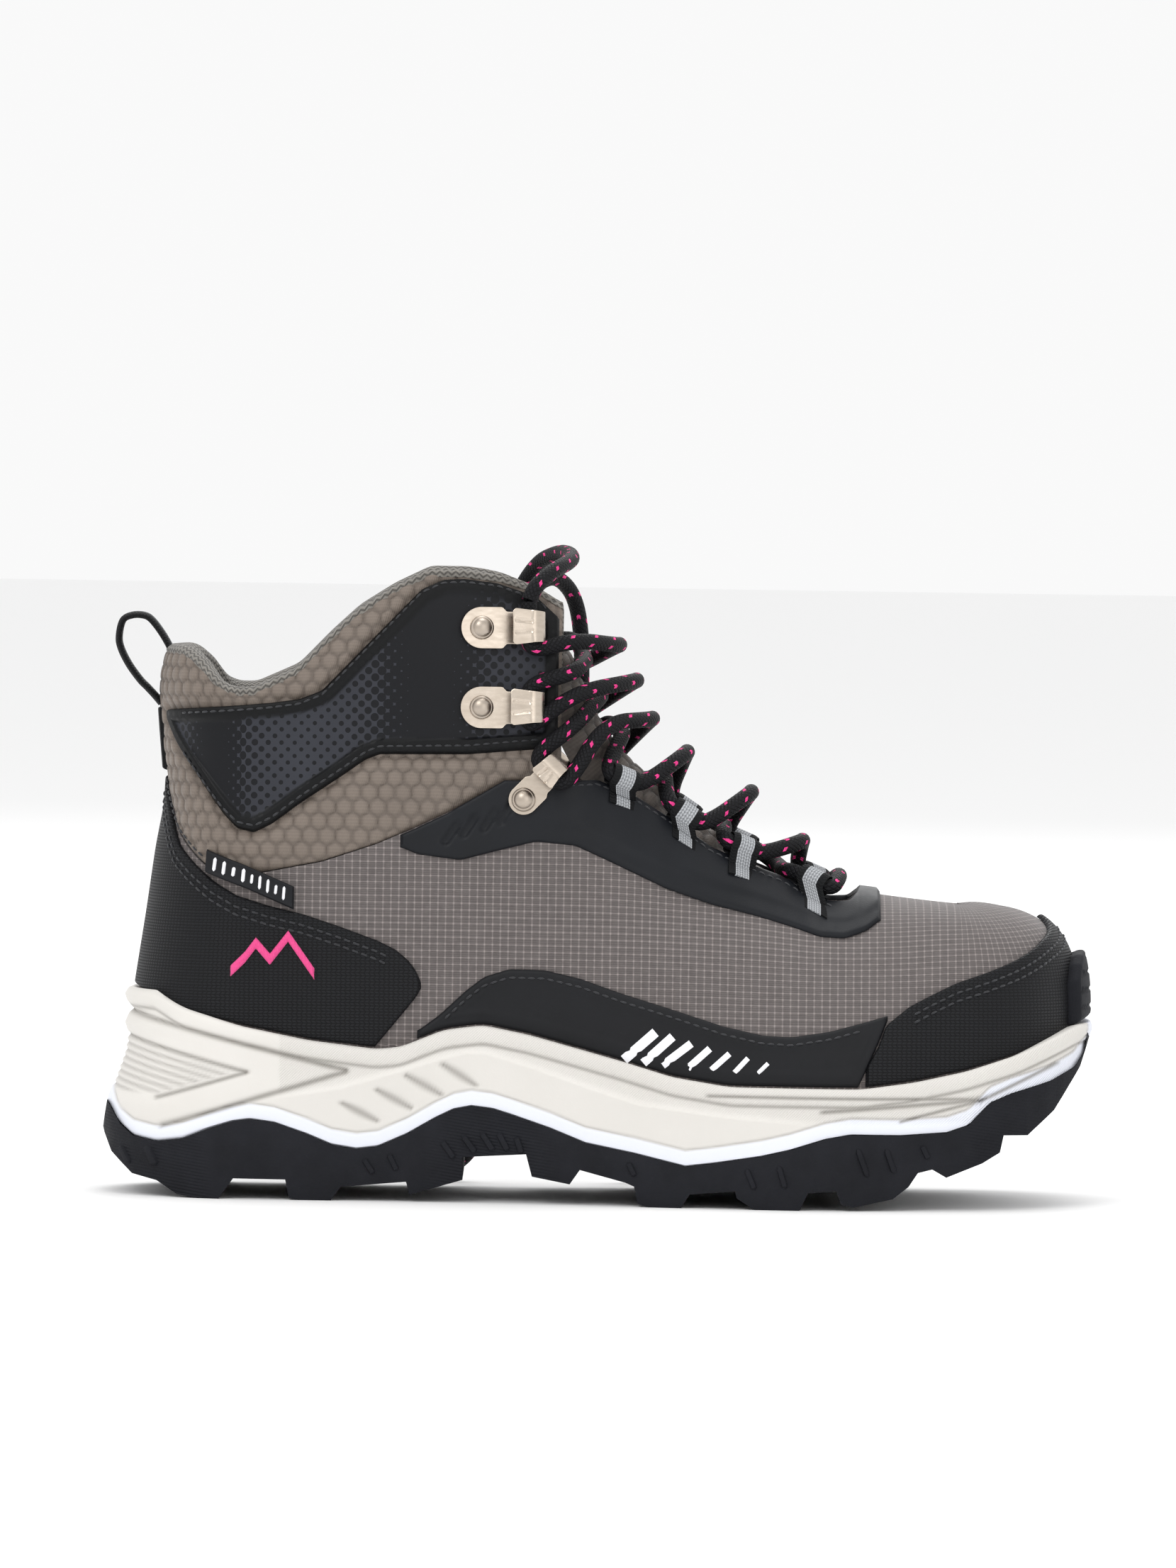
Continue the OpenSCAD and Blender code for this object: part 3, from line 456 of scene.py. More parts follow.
# %% Points on the last
def fan(s):
    return np.where(s > TOE, (s - TOE) / 40, np.where(s < HEEL, (HEEL - s) / 36, 0)) * np.pi / 2


def foot_x(s):
    t = fan(s)
    return np.where(s > TOE, TOE + TIP * np.sin(t), np.where(s < HEEL, HEEL - 31 * np.sin(t), s))


def rise_of(s, z):
    """The angle up a cross section at which a height is reached."""
    f = feather(foot_x(s))
    e = np.clip((z - f) / (crown(np.minimum(s, TOE)) - f), 1e-9, 1)
    return np.where(z < f, (z - f) / 0.4, np.degrees(np.arcsin(e ** (squareness(s) / 2))))


def skin(side, s, rise, off):
    """Points of the upper, a distance off its cloth. side is -1 for the outer, 1 for the inner."""
    s, rise = np.asarray(s, float), np.asarray(rise, float)
    q, f = 2 / squareness(s), feather(foot_x(s))
    a = np.radians(np.maximum(rise, 0))
    k = np.maximum(0, np.cos(a)) ** q
    z = np.where(rise > 0, f + (crown(np.minimum(s, TOE)) - f + off) * np.sin(a) ** q, f + rise * 0.4)
    w = (half_w(np.clip(s, HEEL, TOE)) - 4.8) * slimming(z) + off
    t = fan(s)
    x = np.where(s < HEEL, HEEL - (heel_back(z) + off) * np.sin(t),
                 np.where(s > TOE, TOE + (TIP + off) * k * np.sin(t), s))
    y = w * k * np.cos(t)
    return np.stack([x + 0 * y, side * y + centre_y(x), z + 0 * y], -1)


def on_skin(side, s, z, off=0.0):
    return skin(side, s, rise_of(np.asarray(s, float), z), off)


def run_of(s):
    """Length along the boot at a station: the fans are longer than their stations."""
    return s + np.where(np.abs(s) > 100, np.sign(s) * (np.abs(s) - 100) * 0.4, 0)


print("toe tip at", np.round(on_skin(1, 140.0, 55.0), 1))

# %% [markdown]
# ## From tables to closed pieces
# A layer is a grid of points between its lower and upper edge. Its outer sheet swells away from
# the last and rolls down at its edges, its inner sheet lies flat, and a wall joins the two, so
# each piece is a closed body like the cut and moulded part it stands for.

# %% Make a mesh with its own measures
made = {}


def pick(piece):
    """Selects one object and nothing else."""
    bpy.ops.object.select_all(action="DESELECT")
    piece.select_set(True)
    bpy.context.view_layer.objects.active = piece


def merge_close(piece, merge=True):
    """Closes seams and poles, and points every face outwards."""
    pick(piece)
    bpy.ops.object.mode_set(mode="EDIT")
    bpy.ops.mesh.select_all(action="SELECT")
    if merge:
        bpy.ops.mesh.remove_doubles(threshold=2e-5)
    bpy.ops.mesh.normals_make_consistent(inside=False)
    bpy.ops.object.mode_set(mode="OBJECT")


def finish_with(piece, kind, **settings):
    """Adds a modifier and applies it."""
    pick(piece)
    bpy.ops.object.modifier_add(type=kind)
    modifier = piece.modifiers[-1]
    for key, value in settings.items():
        setattr(modifier, key, value)
    bpy.ops.object.modifier_apply(modifier=modifier.name)


def dress(piece, slot, body=BODY, replaces=(), smooth=40):
    """Gives a piece its finish and body, hides the CAD nodes it stands for, and counts its faces."""
    piece.data.materials.clear()
    piece.data.materials.append(FINISH[slot])
    pick(piece)
    bpy.ops.object.shade_smooth_by_angle(angle=math.radians(smooth))
    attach(piece, body)
    if replaces:
        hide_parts(*replaces)
    made[piece.name] = len(piece.data.polygons)
    return piece


def new_piece(name, points, faces, marks=None):
    """A mesh from points in millimetres. marks are measures kept for its finish; cloth is its UV map."""
    mesh = bpy.data.meshes.new(name)
    mesh.from_pydata((np.asarray(points) * MM).tolist(), [], [list(map(int, f)) for f in faces])
    corners = np.empty(len(mesh.loops), np.int32)
    mesh.loops.foreach_get("vertex_index", corners)
    for key, values in (marks or {}).items():
        if key == "cloth":
            layer = mesh.uv_layers.new(name="cloth")
            layer.data.foreach_set("uv", (np.asarray(values)[corners] * 0.01).astype(np.float32).ravel())
        else:
            note = mesh.attributes.new(key, "FLOAT", "POINT")
            note.data.foreach_set("value", np.asarray(values, np.float32).ravel())
    mesh.validate()
    piece = bpy.data.objects.new(name, mesh)
    bpy.context.scene.collection.objects.link(piece)
    return piece


def grid_faces(n, m, start=0, flip=False, ring=False):
    """Quads over a grid of n rows of m points; a ring closes each row on itself."""
    i, j = np.meshgrid(np.arange(n - 1), np.arange(m if ring else m - 1), indexing="ij")
    k = (j + 1) % m
    q = np.stack([i * m + j, (i + 1) * m + j, (i + 1) * m + k, i * m + k], -1).reshape(-1, 4) + start
    return q[:, ::-1] if flip else q


def shell_faces(n, m, ends=(True, True), top=None):
    """Outer and inner sheet of an n by m grid, with the walls that join them."""
    a, b = 0, n * m
    walls = []
    for i in range(n - 1):
        walls.append((a + i * m, b + i * m, b + (i + 1) * m, a + (i + 1) * m))
        if top is None or not (top[i] and top[i + 1]):
            here, there = i * m + m - 1, (i + 1) * m + m - 1
            walls.append((a + here, a + there, b + there, b + here))
    for j in range(m - 1):
        if ends[0]:
            walls.append((a + j, a + j + 1, b + j + 1, b + j))
        if ends[1]:
            k = (n - 1) * m
            walls.append((a + k + j, b + k + j, b + k + j + 1, a + k + j + 1))
    return np.concatenate([grid_faces(n, m), grid_faces(n, m, b, True), np.array(walls)])


print("mesh kit ready")


# %% Stations of a layer
def one_side(side, first, last, step=1.0):
    n = int(abs(last - first) / step) + 1
    s = np.linspace(first, last, n)
    return np.full(n, float(side)), s, run_of(s)


def round_heel(last, step=1.0):
    s = np.linspace(-136, last, int((last + 136) / step) + 1)
    s = np.concatenate([s[::-1], s[1:]])
    side = np.where(np.arange(len(s)) < len(s) // 2, -1.0, 1.0)
    return side, s, side * (run_of(s) - run_of(-136.0))


def round_toe(first, step=1.0):
    s = np.linspace(first, 140, int((140 - first) / step) + 1)
    s = np.concatenate([s, s[-2::-1]])
    side = np.where(np.arange(len(s)) < len(s) // 2, -1.0, 1.0)
    return side, s, side * (run_of(140.0) - run_of(s))


EDGE = np.array([0, 0.12, 0.35, 0.7, 1.2])


def spread(side, s, lo, hi, rows, closed=999, edged=True):
    """Rising angles and surface measures of a grid between two edges."""
    a, b = rise_of(s, lo), rise_of(s, hi)
    b = np.where(s >= closed, 90.0, b)
    fine = np.minimum(a, 0)[:, None] + (b - np.minimum(a, 0))[:, None] * np.linspace(0, 1, 110)[None]
    p = skin(side[:, None], s[:, None], fine, 0.0)
    arc = np.concatenate([np.zeros((len(s), 1)), np.cumsum(np.linalg.norm(np.diff(p, axis=1), axis=2), 1)], 1)
    arc += p[:, :1, 2]
    rise, v = [], []
    for k in range(len(s)):
        start, stop = np.interp([a[k], b[k]], fine[k], arc[k])
        tall = max(stop - start, 1e-4)
        if edged:
            e = EDGE * min(1, 0.3 * tall / EDGE[-1]) / tall
            t = np.concatenate([e[:-1], np.linspace(e[-1], 1 - e[-1], rows), 1 - e[:-1][::-1]])
        else:
            t = np.linspace(0, 1, rows)
        v.append(start + tall * t)
        rise.append(np.interp(v[-1], arc[k], fine[k]))
    return np.array(rise), np.array(v)


def edge_distance(u, v):
    """Distance of every grid point from the outline of its layer."""
    uu = np.repeat(u[:, None], v.shape[1], 1)
    loop = np.concatenate([np.stack([u, v[:, 0]], 1), np.stack([uu[-1], v[-1]], 1),
                           np.stack([u, v[:, -1]], 1)[::-1], np.stack([uu[0], v[0]], 1)[::-1]])
    p = np.stack([uu, v], -1).reshape(-1, 2)
    best = np.full(len(p), 1e9)
    for a, b in zip(loop[:-1], loop[1:]):
        ab = b - a
        if ab @ ab < 1e-9:
            continue
        t = np.clip((p - a) @ ab / (ab @ ab), 0, 1)
        best = np.minimum(best, ((p - a - t[:, None] * ab) ** 2).sum(1))
    return np.sqrt(best).reshape(v.shape)


def rolled(d, thick, radius=0.9):
    """Thickness near an edge, rounded over like a cut and pressed film."""
    e = np.clip(d / radius, 0, 1)
    return thick * np.sqrt(np.maximum(0, 1 - (1 - e) ** 2))


def lay(name, slot, stations, lo, hi, out, base, rows=16, replaces=(), closed=999, ends=(True, True),
        edged=True, notes=None, smooth=40):
    """One layer: out(d, u, v, z) is how far its outer sheet stands off the cloth."""
    side, s, u = stations
    lo, hi = lo(s), hi(s)
    rise, v = spread(side, s, lo, hi, rows, closed, edged)
    n, m = rise.shape
    d = edge_distance(u, v) if edged else np.full(v.shape, 9.0)
    uu = np.repeat(u[:, None], m, 1)
    z = skin(side[:, None], s[:, None], rise, 0.0)[..., 2]
    off = out(d, uu, v, z)
    outer = skin(side[:, None], s[:, None], rise, off)
    inner = skin(side[:, None], s[:, None], rise, np.minimum(base, off))
    marks = {"cloth": np.tile(np.stack([uu, v], -1).reshape(-1, 2), (2, 1))}
    for key, maker in (notes or {}).items():
        marks[key] = np.tile(maker(d, uu, v, z).ravel(), 2)
    piece = new_piece(name, np.concatenate([outer.reshape(-1, 3), inner.reshape(-1, 3)]),
                      shell_faces(n, m, ends, s >= closed), marks)
    merge_close(piece)
    return dress(piece, slot, replaces=replaces, smooth=smooth)


print("layer kit ready")

# %% [markdown]
# ## Ripstop upper and its lining
# The upper is a light ripstop cloth, sewn into a sock and pulled over the last. It is made as
# one grid to each side, closed over the toe box, with a faint slackness between its seams, and
# the knit lining follows inside it.

# %% Edges of the layers
SEAM = table([[-136, 117], [-128, 109], [-120.7, 101], [-113, 94.5], [-108, 91], [-97, 91],
              [-79, 94.6], [-63.6, 99.8], [-53.5, 104.2], [-43, 109.3], [-28, 118], [-2, 118], [8, 113.7],
              [21, 105.5], [30, 99.2], [40, 94.6], [50, 90.7], [58, 86.2], [64, 84.1], [69, 84.2], [72, 87]])
COLLAR = table([[-136, 153.5], [-121, 153.5], [-115, 150.5], [-108, 144], [-104, 142.5],
                [-99, 142.5], [-87, 148], [-78, 157.5], [-70, 165], [-60, 171.5], [-50, 176.5], [-40, 176.5],
                [-30, 175], [-20, 171.5], [-12.5, 167]], 2.5)
CLOSED = 72


def tuck(s):
    return feather(foot_x(s)) - 5.5


def rim(s):
    return feather(foot_x(s)) + 0.3


def ripple(u, v):
    """A slow unevenness, as cloth has over its lining."""
    return 0.16 * np.sin(u / 7.3 + v / 11) + 0.12 * np.sin(u / 17 - v / 5.1 + 1.3)


# %% Ripstop upper and lining
def sock(name, slot, node, out, base, step, rows):
    """A layer to both sides, closed over the toe box, as one piece."""
    points, faces, marks, start = [], [], [], 0
    for side in (-1, 1):
        sides, s, u = one_side(side, -136, 140, step)
        rise, v = spread(sides, s, tuck(s), SEAM(s) - (0.5 if out < 0 else 0), rows, CLOSED, edged=False)
        uu = np.repeat(u[:, None], rows, 1)
        wave = ripple(uu, v) * np.clip((v - 40) / 15, 0, 1) * np.clip((135 - np.abs(s))[:, None] / 8, 0, 1)
        outer = skin(side, s[:, None], rise, out + (wave if out == 0 else 0))
        inner = skin(side, s[:, None], rise, base)
        points += [outer.reshape(-1, 3), inner.reshape(-1, 3)]
        faces.append(shell_faces(len(s), rows, (False, False), s >= CLOSED) + start)
        marks.append(np.tile(np.stack([uu, v], -1).reshape(-1, 2), (2, 1)))
        start += 2 * len(s) * rows
    piece = new_piece(name, np.concatenate(points), np.concatenate(faces), {"cloth": np.concatenate(marks)})
    merge_close(piece)
    return dress(piece, slot, replaces=[node])


sock("ripstop_vamp", "ripstop", "ripstop_upper", 0.0, -1.2, 1.2, 44)
sock("inner_lining", "lining_cloth", "lining", -2.9, -3.7, 2.5, 24)
print(made)

# %% [markdown]
# ## Overlays
# Coated cloth and moulded film are glued and stitched over the ripstop where stones and
# branches rub. Each has its own cut edge. The heel and toe caps are embossed, the mudguards are
# smooth film, the eyestay has a raised rib and slots, and the ankle panels have a raised rim
# round a printed field.

# %% Heel cap and toe cap
HEEL_CAP_TOP = table([[-136, 117], [-126, 107], [-119.7, 98.4], [-114, 93.5], [-108, 88.6],
                      [-102, 84.7], [-94, 82.2], [-84, 79.9], [-74, 76.7], [-63, 72.8], [-58, 70.4],
                      [-54.5, 67.6], [-52, 64.5], [-50.6, 61]], 0)
TOE_CAP_TOP = table([[73, 37.5], [77.6, 46], [79.6, 51.5], [86, 56.6], [92, 59.7], [98, 62.6],
                     [107, 66.4], [113.6, 69.3], [124, 74.4], [134, 78], [140, 80.3]], 0)


def heel_cap_foot(s):
    return np.where(s < -63, rim(s), np.interp(s, [-63, -60.6, -56, -52, -50.6], [43.4, 46.3, 52, 57, 59.5]))


GLUE, FILM = 0.25, 1.2


def film(thick, lift=GLUE, radius=0.9):
    return lambda d, u, v, z: lift + rolled(d, thick, radius)


lay("heel_counter_cover", "embossed_synthetic", round_heel(-50.6, 0.9), heel_cap_foot,
               HEEL_CAP_TOP, film(FILM), 0.1, 26, ["heel_cap"])
lay("toe_cover", "embossed_synthetic", round_toe(74, 0.9), rim, TOE_CAP_TOP, film(FILM), 0.1,
              24, ["toe_cap"])
print(made)

# %% Mudguards, with their seven slanted bars
GUARD_TOP = table([[-51.5, 47.6], [-45.5, 52.1], [-38, 59.2], [-33, 63.1], [-26, 65.4], [-16, 65.3],
                   [-6, 63.1], [5, 59.4], [19, 55.3], [34, 50.7], [45, 48.4], [53, 48], [64, 49.7],
                   [75, 52.7], [80, 54.2]], 1.5)


def guard_foot(s):
    return np.where(s < 72, rim(s), np.interp(s, [72, 77.6, 80], [rim(72.0), 46.8, 53]))


for side, word in ((-1, "lateral"), (1, "medial")):
    lay("mudguard_" + word + "_film", "smooth_film", one_side(side, -51.5, 80, 0.9), guard_foot, GUARD_TOP,
        lambda d, u, v, z: GLUE + rolled(d, 1.0, 1.4) + 0.25 * np.exp(-((d - 3.2) / 0.6) ** 2), 0.1, 16,
        ["mudguard_" + word])

points, faces = [], []
BAR_FEET = [[6.5, 40.9, 15.2, 48.6], [11.9, 40.1, 20.0, 47.5], [17.3, 39.6, 25.2, 45.7],
            [24.3, 38.9, 30.4, 44.4], [30.7, 38.4, 35.9, 43.1], [37.3, 37.9, 41.1, 42.0],
            [43.8, 37.8, 46.7, 40.7]]
for side in (-1, 1):
    for k, (x0, z0, x1, z1) in enumerate(BAR_FEET):
        wide = 1.35 - 0.13 * k
        t, w = np.meshgrid(np.linspace(0, 1, 9), np.linspace(-1, 1, 5), indexing="ij")
        long = np.hypot(x1 - x0, z1 - z0)
        px = x0 + (x1 - x0) * t - w * wide * (z1 - z0) / long
        pz = z0 + (z1 - z0) * t + w * wide * (x1 - x0) / long
        crownd = 1.32 + 0.3 * (1 - w ** 4) * (1 - (2 * t - 1) ** 8)
        for sheet, off in enumerate((crownd, np.full_like(t, 1.1))):
            points.append(on_skin(side, px, pz, off).reshape(-1, 3))
        faces.append(shell_faces(9, 5) + 90 * (len(faces)))
bars = new_piece("guard_print", np.concatenate(points), np.concatenate(faces))
merge_close(bars)
dress(bars, "white_print", replaces=["guard_bars"])
print(made)

# %% Eyestay with its rib, stitch line and slots
EYESTAY_FOOT = table([[-57, 99], [-52, 97], [-40, 95.6], [-30, 98.3], [-19, 101.1], [-8, 100.1],
                      [2, 95.6], [18, 88.2], [30, 84.2], [43, 81], [53, 78], [61, 75.3], [68, 75],
                      [74, 77.1], [78, 80]], 1.5)
SLOTS = [[-42.8, 103.1], [-37.7, 105.2], [-32.1, 106.9], [-27.3, 109.0]]


def eyestay_shape(d, u, v, z):
    off = 0.45 + rolled(d, 1.0, 1.2)
    foot = np.interp(u, *np.array([[-60, 20], [-20, 4.5], [0, 4.5], [20, 5], [40, 4.5], [80, 3.5]]).T)
    off += 0.55 / (1 + np.exp(-(z - EYESTAY_FOOT(u) - foot) / 0.35))
    for x, y in SLOTS:
        a, b = u - x, v - y
        along, across = 0.55 * a + 0.83 * b, 0.83 * a - 0.55 * b
        slot = np.exp(-np.maximum(0, np.abs(along) - 3.2) ** 2 / 0.5 - (across / 1.15) ** 4)
        off -= 0.95 * slot
    return off


def throat(s):
    return SEAM(s) - 0.3


def eyestay(name):
    points, faces, marks, start = [], [], [], 0
    for side in (-1, 1):
        sides, s, u = one_side(side, -57, 78, 0.8)
        rise, v = spread(sides, s, EYESTAY_FOOT(s), throat(s), 26, CLOSED)
        d = edge_distance(u, v)
        d[s >= CLOSED, :] = np.minimum(9, v - v[:, :1])[s >= CLOSED, :]
        d[s >= CLOSED, :] = np.minimum(d[s >= CLOSED, :], (78 - s[s >= CLOSED])[:, None])
        uu = np.repeat(u[:, None], rise.shape[1], 1)
        z = skin(side, s[:, None], rise, 0.0)[..., 2]
        outer = skin(side, s[:, None], rise, eyestay_shape(d, uu, v, z))
        inner = skin(side, s[:, None], rise, 0.3)
        points += [outer.reshape(-1, 3), inner.reshape(-1, 3)]
        faces.append(shell_faces(*rise.shape, (True, True), s >= CLOSED) + start)
        marks.append(np.tile(np.stack([uu, v], -1).reshape(-1, 2), (2, 1)))
        start += 2 * rise.size
    piece = new_piece(name, np.concatenate(points), np.concatenate(faces), {"cloth": np.concatenate(marks)})
    merge_close(piece)
    return dress(piece, "moulded_overlay", replaces=["eyestay_overlay"])


eyestay("eyestay_film")
print(made)

# %% Ankle panels
ANKLE_TOP = table([[-127, 136], [-107, 137.6], [-94, 138.8], [-86, 139.9], [-79.6, 142.4], [-70, 152.4],
                   [-60, 162.8], [-52, 171], [-46, 173.6], [-40, 173.8], [-31, 172.6], [-20, 169],
                   [-13.4, 163]], 1)
ANKLE_FOOT = table([[-127, 133], [-122.6, 126.6], [-114, 116.5], [-106.5, 107.4], [-102.5, 103.5],
                    [-98, 102.5], [-93, 105], [-85, 111], [-73, 119.1], [-67, 123.4], [-63, 124.9],
                    [-38.6, 125.2], [-13.4, 127.4]], 1)
RIM = 3.7


def ankle_shape(d, u, v, z):
    edge = 1 / (1 + np.exp(-(RIM - d) / 0.16))
    return GLUE + rolled(d, 0.75, 0.8) + 0.85 * edge * np.clip(d / 0.9, 0, 1)


def dot_size(d, u, v, z):
    near = np.exp(-((u + 113) / 13) ** 2) + np.exp(-((u + 49) / 17) ** 2)
    return np.clip(0.55 + 1.35 * near + 0.25 * np.clip((z - 150) / 20, 0, 1), 0, 1.95)


for side, word in ((-1, "lateral"), (1, "medial")):
    lay("ankle_panel_" + word, "printed_overlay", one_side(side, -127, -13.4, 0.7), ANKLE_FOOT, ANKLE_TOP,
        ankle_shape, 0.1, 46, ["ankle_overlay_" + word],
        notes={"dot": dot_size, "rim": lambda d, u, v, z: 1 / (1 + np.exp(-(RIM + 0.35 - d) / 0.1))})
print(made)

# %% [markdown]
# ## Padded collar
# The collar is foam between an embossed cloth outside and a spacer mesh inside, which rolls over
# the top edge. The outside is pressed into hexagons, so its grid is fine enough to hold each
# cell, and the foam shows as a swelling between the seams.

# %% Collar cloth
def cell_groove(u, v, pitch=4.7, wide=0.55):
    """1 in the grooves between hexagonal cells, 0 on their faces."""
    tall = pitch * math.sqrt(3)
    a = np.stack([np.mod(u, pitch) - pitch / 2, np.mod(v, tall) - tall / 2])
    b = np.stack([np.mod(u - pitch / 2, pitch) - pitch / 2, np.mod(v - tall / 2, tall) - tall / 2])
    g = np.abs(np.where((a ** 2).sum(0) < (b ** 2).sum(0), a, b))
    inside = pitch / 2 - np.maximum(g[0], g[0] * 0.5 + g[1] * math.sqrt(3) / 2)
    return np.exp(-(inside / wide) ** 2)


def collar_shape(d, u, v, z):
    run = np.abs(u) + run_of(-136.0)
    s = np.where(run < -100, -100 + (run + 100) / 1.4, run)
    out = np.maximum(np.maximum(ANKLE_FOOT(s) - z, z - ANKLE_TOP(s)), -127 - s)
    bare = np.clip((out - 0.5) / 4, 0, 1)
    swell = 1.7 * np.clip(d / 8, 0, 1) ** 0.6 * bare * (2 - bare)
    groove = 0.55 * cell_groove(u, v) * np.clip(d / 1.5, 0, 1)
    return swell - groove - 0.8 * (1 - np.clip(d / 1.6, 0, 1)) ** 2


# The low note is painted shade in the grooves between the pressed cells.
lay("collar_cloth", "hex_cloth", round_heel(-12.5, 0.62), lambda s: SEAM(s) + 0.3, COLLAR,
             collar_shape, -1.2, 96, ["collar_shell"],
    notes={"low": lambda d, u, v, z: cell_groove(u, v) * 0.6})
print(made)


# %% Mesh lining, rolled over the top edge
def collar_roll():
    side, s, u = round_heel(-12.5, 0.9)
    depth = np.interp(s, [-136, -44, -28, -20, -12.5], [7.6, 7.6, 4.0, 2.3, 2.3])
    turn = np.radians(np.linspace(-25, 180, 15))
    off = -depth[:, None] / 2 + 0.3 + (depth[:, None] / 2 + 0.25) * np.cos(turn)
    high = COLLAR(s)[:, None] - 0.9 + 0.42 * np.minimum(depth, 5.5)[:, None] * np.sin(turn)
    down = np.linspace(0.04, 1, 18)
    floor_z = SEAM(s)[:, None] - 3
    puff = 1.3 * np.sin(np.pi * down) * np.clip(depth / 7.6, 0.1, 1)[:, None]
    off = np.concatenate([off, -depth[:, None] + 0.05 - puff], 1)
    high = np.concatenate([high, high[:, -1:] + (floor_z - high[:, -1:]) * down], 1)
    p = skin(side[:, None], s[:, None], rise_of(np.repeat(s[:, None], off.shape[1], 1), high), off)
    v = np.concatenate([np.zeros((len(s), 1)), np.cumsum(np.linalg.norm(np.diff(p, axis=1), axis=2), 1)], 1)
    uu = np.repeat(u[:, None], off.shape[1], 1)
    piece = new_piece("collar_mesh", p.reshape(-1, 3), grid_faces(*off.shape, flip=True),
                      {"cloth": np.stack([uu, v], -1).reshape(-1, 2)})
    finish_with(piece, "SOLIDIFY", thickness=0.7 * MM, offset=-1)
    return dress(piece, "mesh_lining", replaces=["collar_lining"], smooth=60)


roll = collar_roll()
print(made)

# %% [markdown]
# ## Tongue
# The tongue fills the throat behind the lace. Its face is the same pressed cloth as the collar,
# over a foam pad, so one crowned and rolled piece stands for both. It belongs to the tongue
# body, which folds back into the opening about its base.

# %% Tongue
TONGUE = np.array([[70, 80.5, 12, 4], [62, 83.5, 13, 5.5], [52, 89, 14, 7.5], [41, 96, 15, 9],
                   [31, 104, 16, 10.5], [21, 112, 17, 12], [11, 120.5, 17, 12], [3, 128.5, 17, 11],
                   [-3, 138, 17, 10], [-8, 149, 16.5, 9], [-13, 160, 16.5, 8], [-18, 170, 16, 7]], float)


def smooth_through(t, y, at):
    """A smooth curve through the knots, by cubic pieces."""
    m = np.gradient(y, t)
    i = np.clip(np.searchsorted(t, at, side="right") - 1, 0, len(t) - 2)
    f = at - t[i]
    return (y[i] * (1 + 2 * f) * (1 - f) ** 2 + m[i] * f * (1 - f) ** 2 + y[i + 1] * f ** 2 * (3 - 2 * f)
            + m[i + 1] * f ** 2 * (f - 1))


def tongue_ways():
    ahead = np.vstack([TONGUE[1:], TONGUE[-1:]]) - np.vstack([TONGUE[:1], TONGUE[:-1]])
    ahead = ahead[:, :2] / np.hypot(ahead[:, 0], ahead[:, 1])[:, None]
    return np.stack([ahead[:, 1], -ahead[:, 0]], 1)


def tongue():
    count, across = 170, 52
    groove, rim_roll, thick, back_roll = 0.62, 2.3, 5.2, 2.4
    way = tongue_ways()
    rows = np.linspace(0, len(TONGUE) - 1, count)
    knots = np.arange(len(TONGUE))
    x, z, half, bow = (smooth_through(knots, TONGUE[:, k], rows) for k in range(4))
    nx, nz = (smooth_through(knots, way[:, k], rows) for k in range(2))
    w = np.linspace(-1, 1, across)
    along = np.concatenate([[0], np.cumsum(np.hypot(np.diff(x), np.diff(z)))])
    u, v = np.meshgrid(along, np.zeros(across), indexing="ij")
    v = w[None, :] * half[:, None]
    d = np.minimum(np.minimum(along[:, None], (along[-1] - along)[:, None]), (half[:, None] - np.abs(v)))
    front = (bow[:, None] * w ** 2 + groove * cell_groove(v, u) * np.clip(d / 2, 0, 1)
             + rim_roll * (1 - np.clip(d / 3, 0, 1)) ** 2)
    back = bow[:, None] * w ** 2 + thick - back_roll * (1 - np.clip(d / 4, 0, 1)) ** 2
    sheets = []
    for sheet in (front, back):
        sheets.append(np.stack([x[:, None] - nx[:, None] * sheet, v + centre_y(x)[:, None],
                                z[:, None] - nz[:, None] * sheet], -1).reshape(-1, 3))
    # low is painted shade in the grooves between the pressed cells, on the face sheet only.
    low = cell_groove(v, u) * 0.75 * np.clip(d / 2, 0, 1)
    piece = new_piece("tongue_cloth", np.concatenate(sheets), shell_faces(count, across),
                      {"cloth": np.tile(np.stack([v, u], -1).reshape(-1, 2), (2, 1)),
                       "low": np.concatenate([low.ravel(), np.zeros(low.size)])})
    merge_close(piece)
    return dress(piece, "tongue_cloth", body="tongue", replaces=["tongue_face", "tongue_padding"])


tongue()
print(made)

# %% [markdown]
# ## Metal and webbing
# The two upper pairs of hooks are stamped strips that curl over the lace, held by domed rivets.
# The lowest pair locks the lace. Below them the lace runs in loops of folded webbing, each
# stitched down at its two ends, with a paler stripe along the middle.

# %% A place on the cloth as three directions
def unit(v):
    return v / np.linalg.norm(v)


def cloth_frame(side, s, z):
    ahead = unit(on_skin(side, s + 3, z) - on_skin(side, s - 3, z))
    out = unit(np.cross(on_skin(side, s, z + 3) - on_skin(side, s, z - 3), ahead)) * side
    up = unit(np.cross(out, ahead))
    return ahead, up * (1 if up[2] > 0 else -1), out


def seated(points, side, s, z, off, turn=0.0):
    """Points drawn with X along the cloth, Y up it and Z out of it, put onto the boot."""
    a, b, n = cloth_frame(side, s, z)
    t = math.radians(turn)
    ax = np.stack([a * math.cos(t) + b * math.sin(t), b * math.cos(t) - a * math.sin(t), n])
    return np.asarray(points) @ ax + on_skin(side, s, z) + n * off


HOOKS = [[-35.5, 160.5, 0], [-35, 138.3, 0]]
LOCK = [-22.5, 112.6, 46]
PLATE_OFF, PLATE_T, CURL = 1.95, 1.0, 3.0


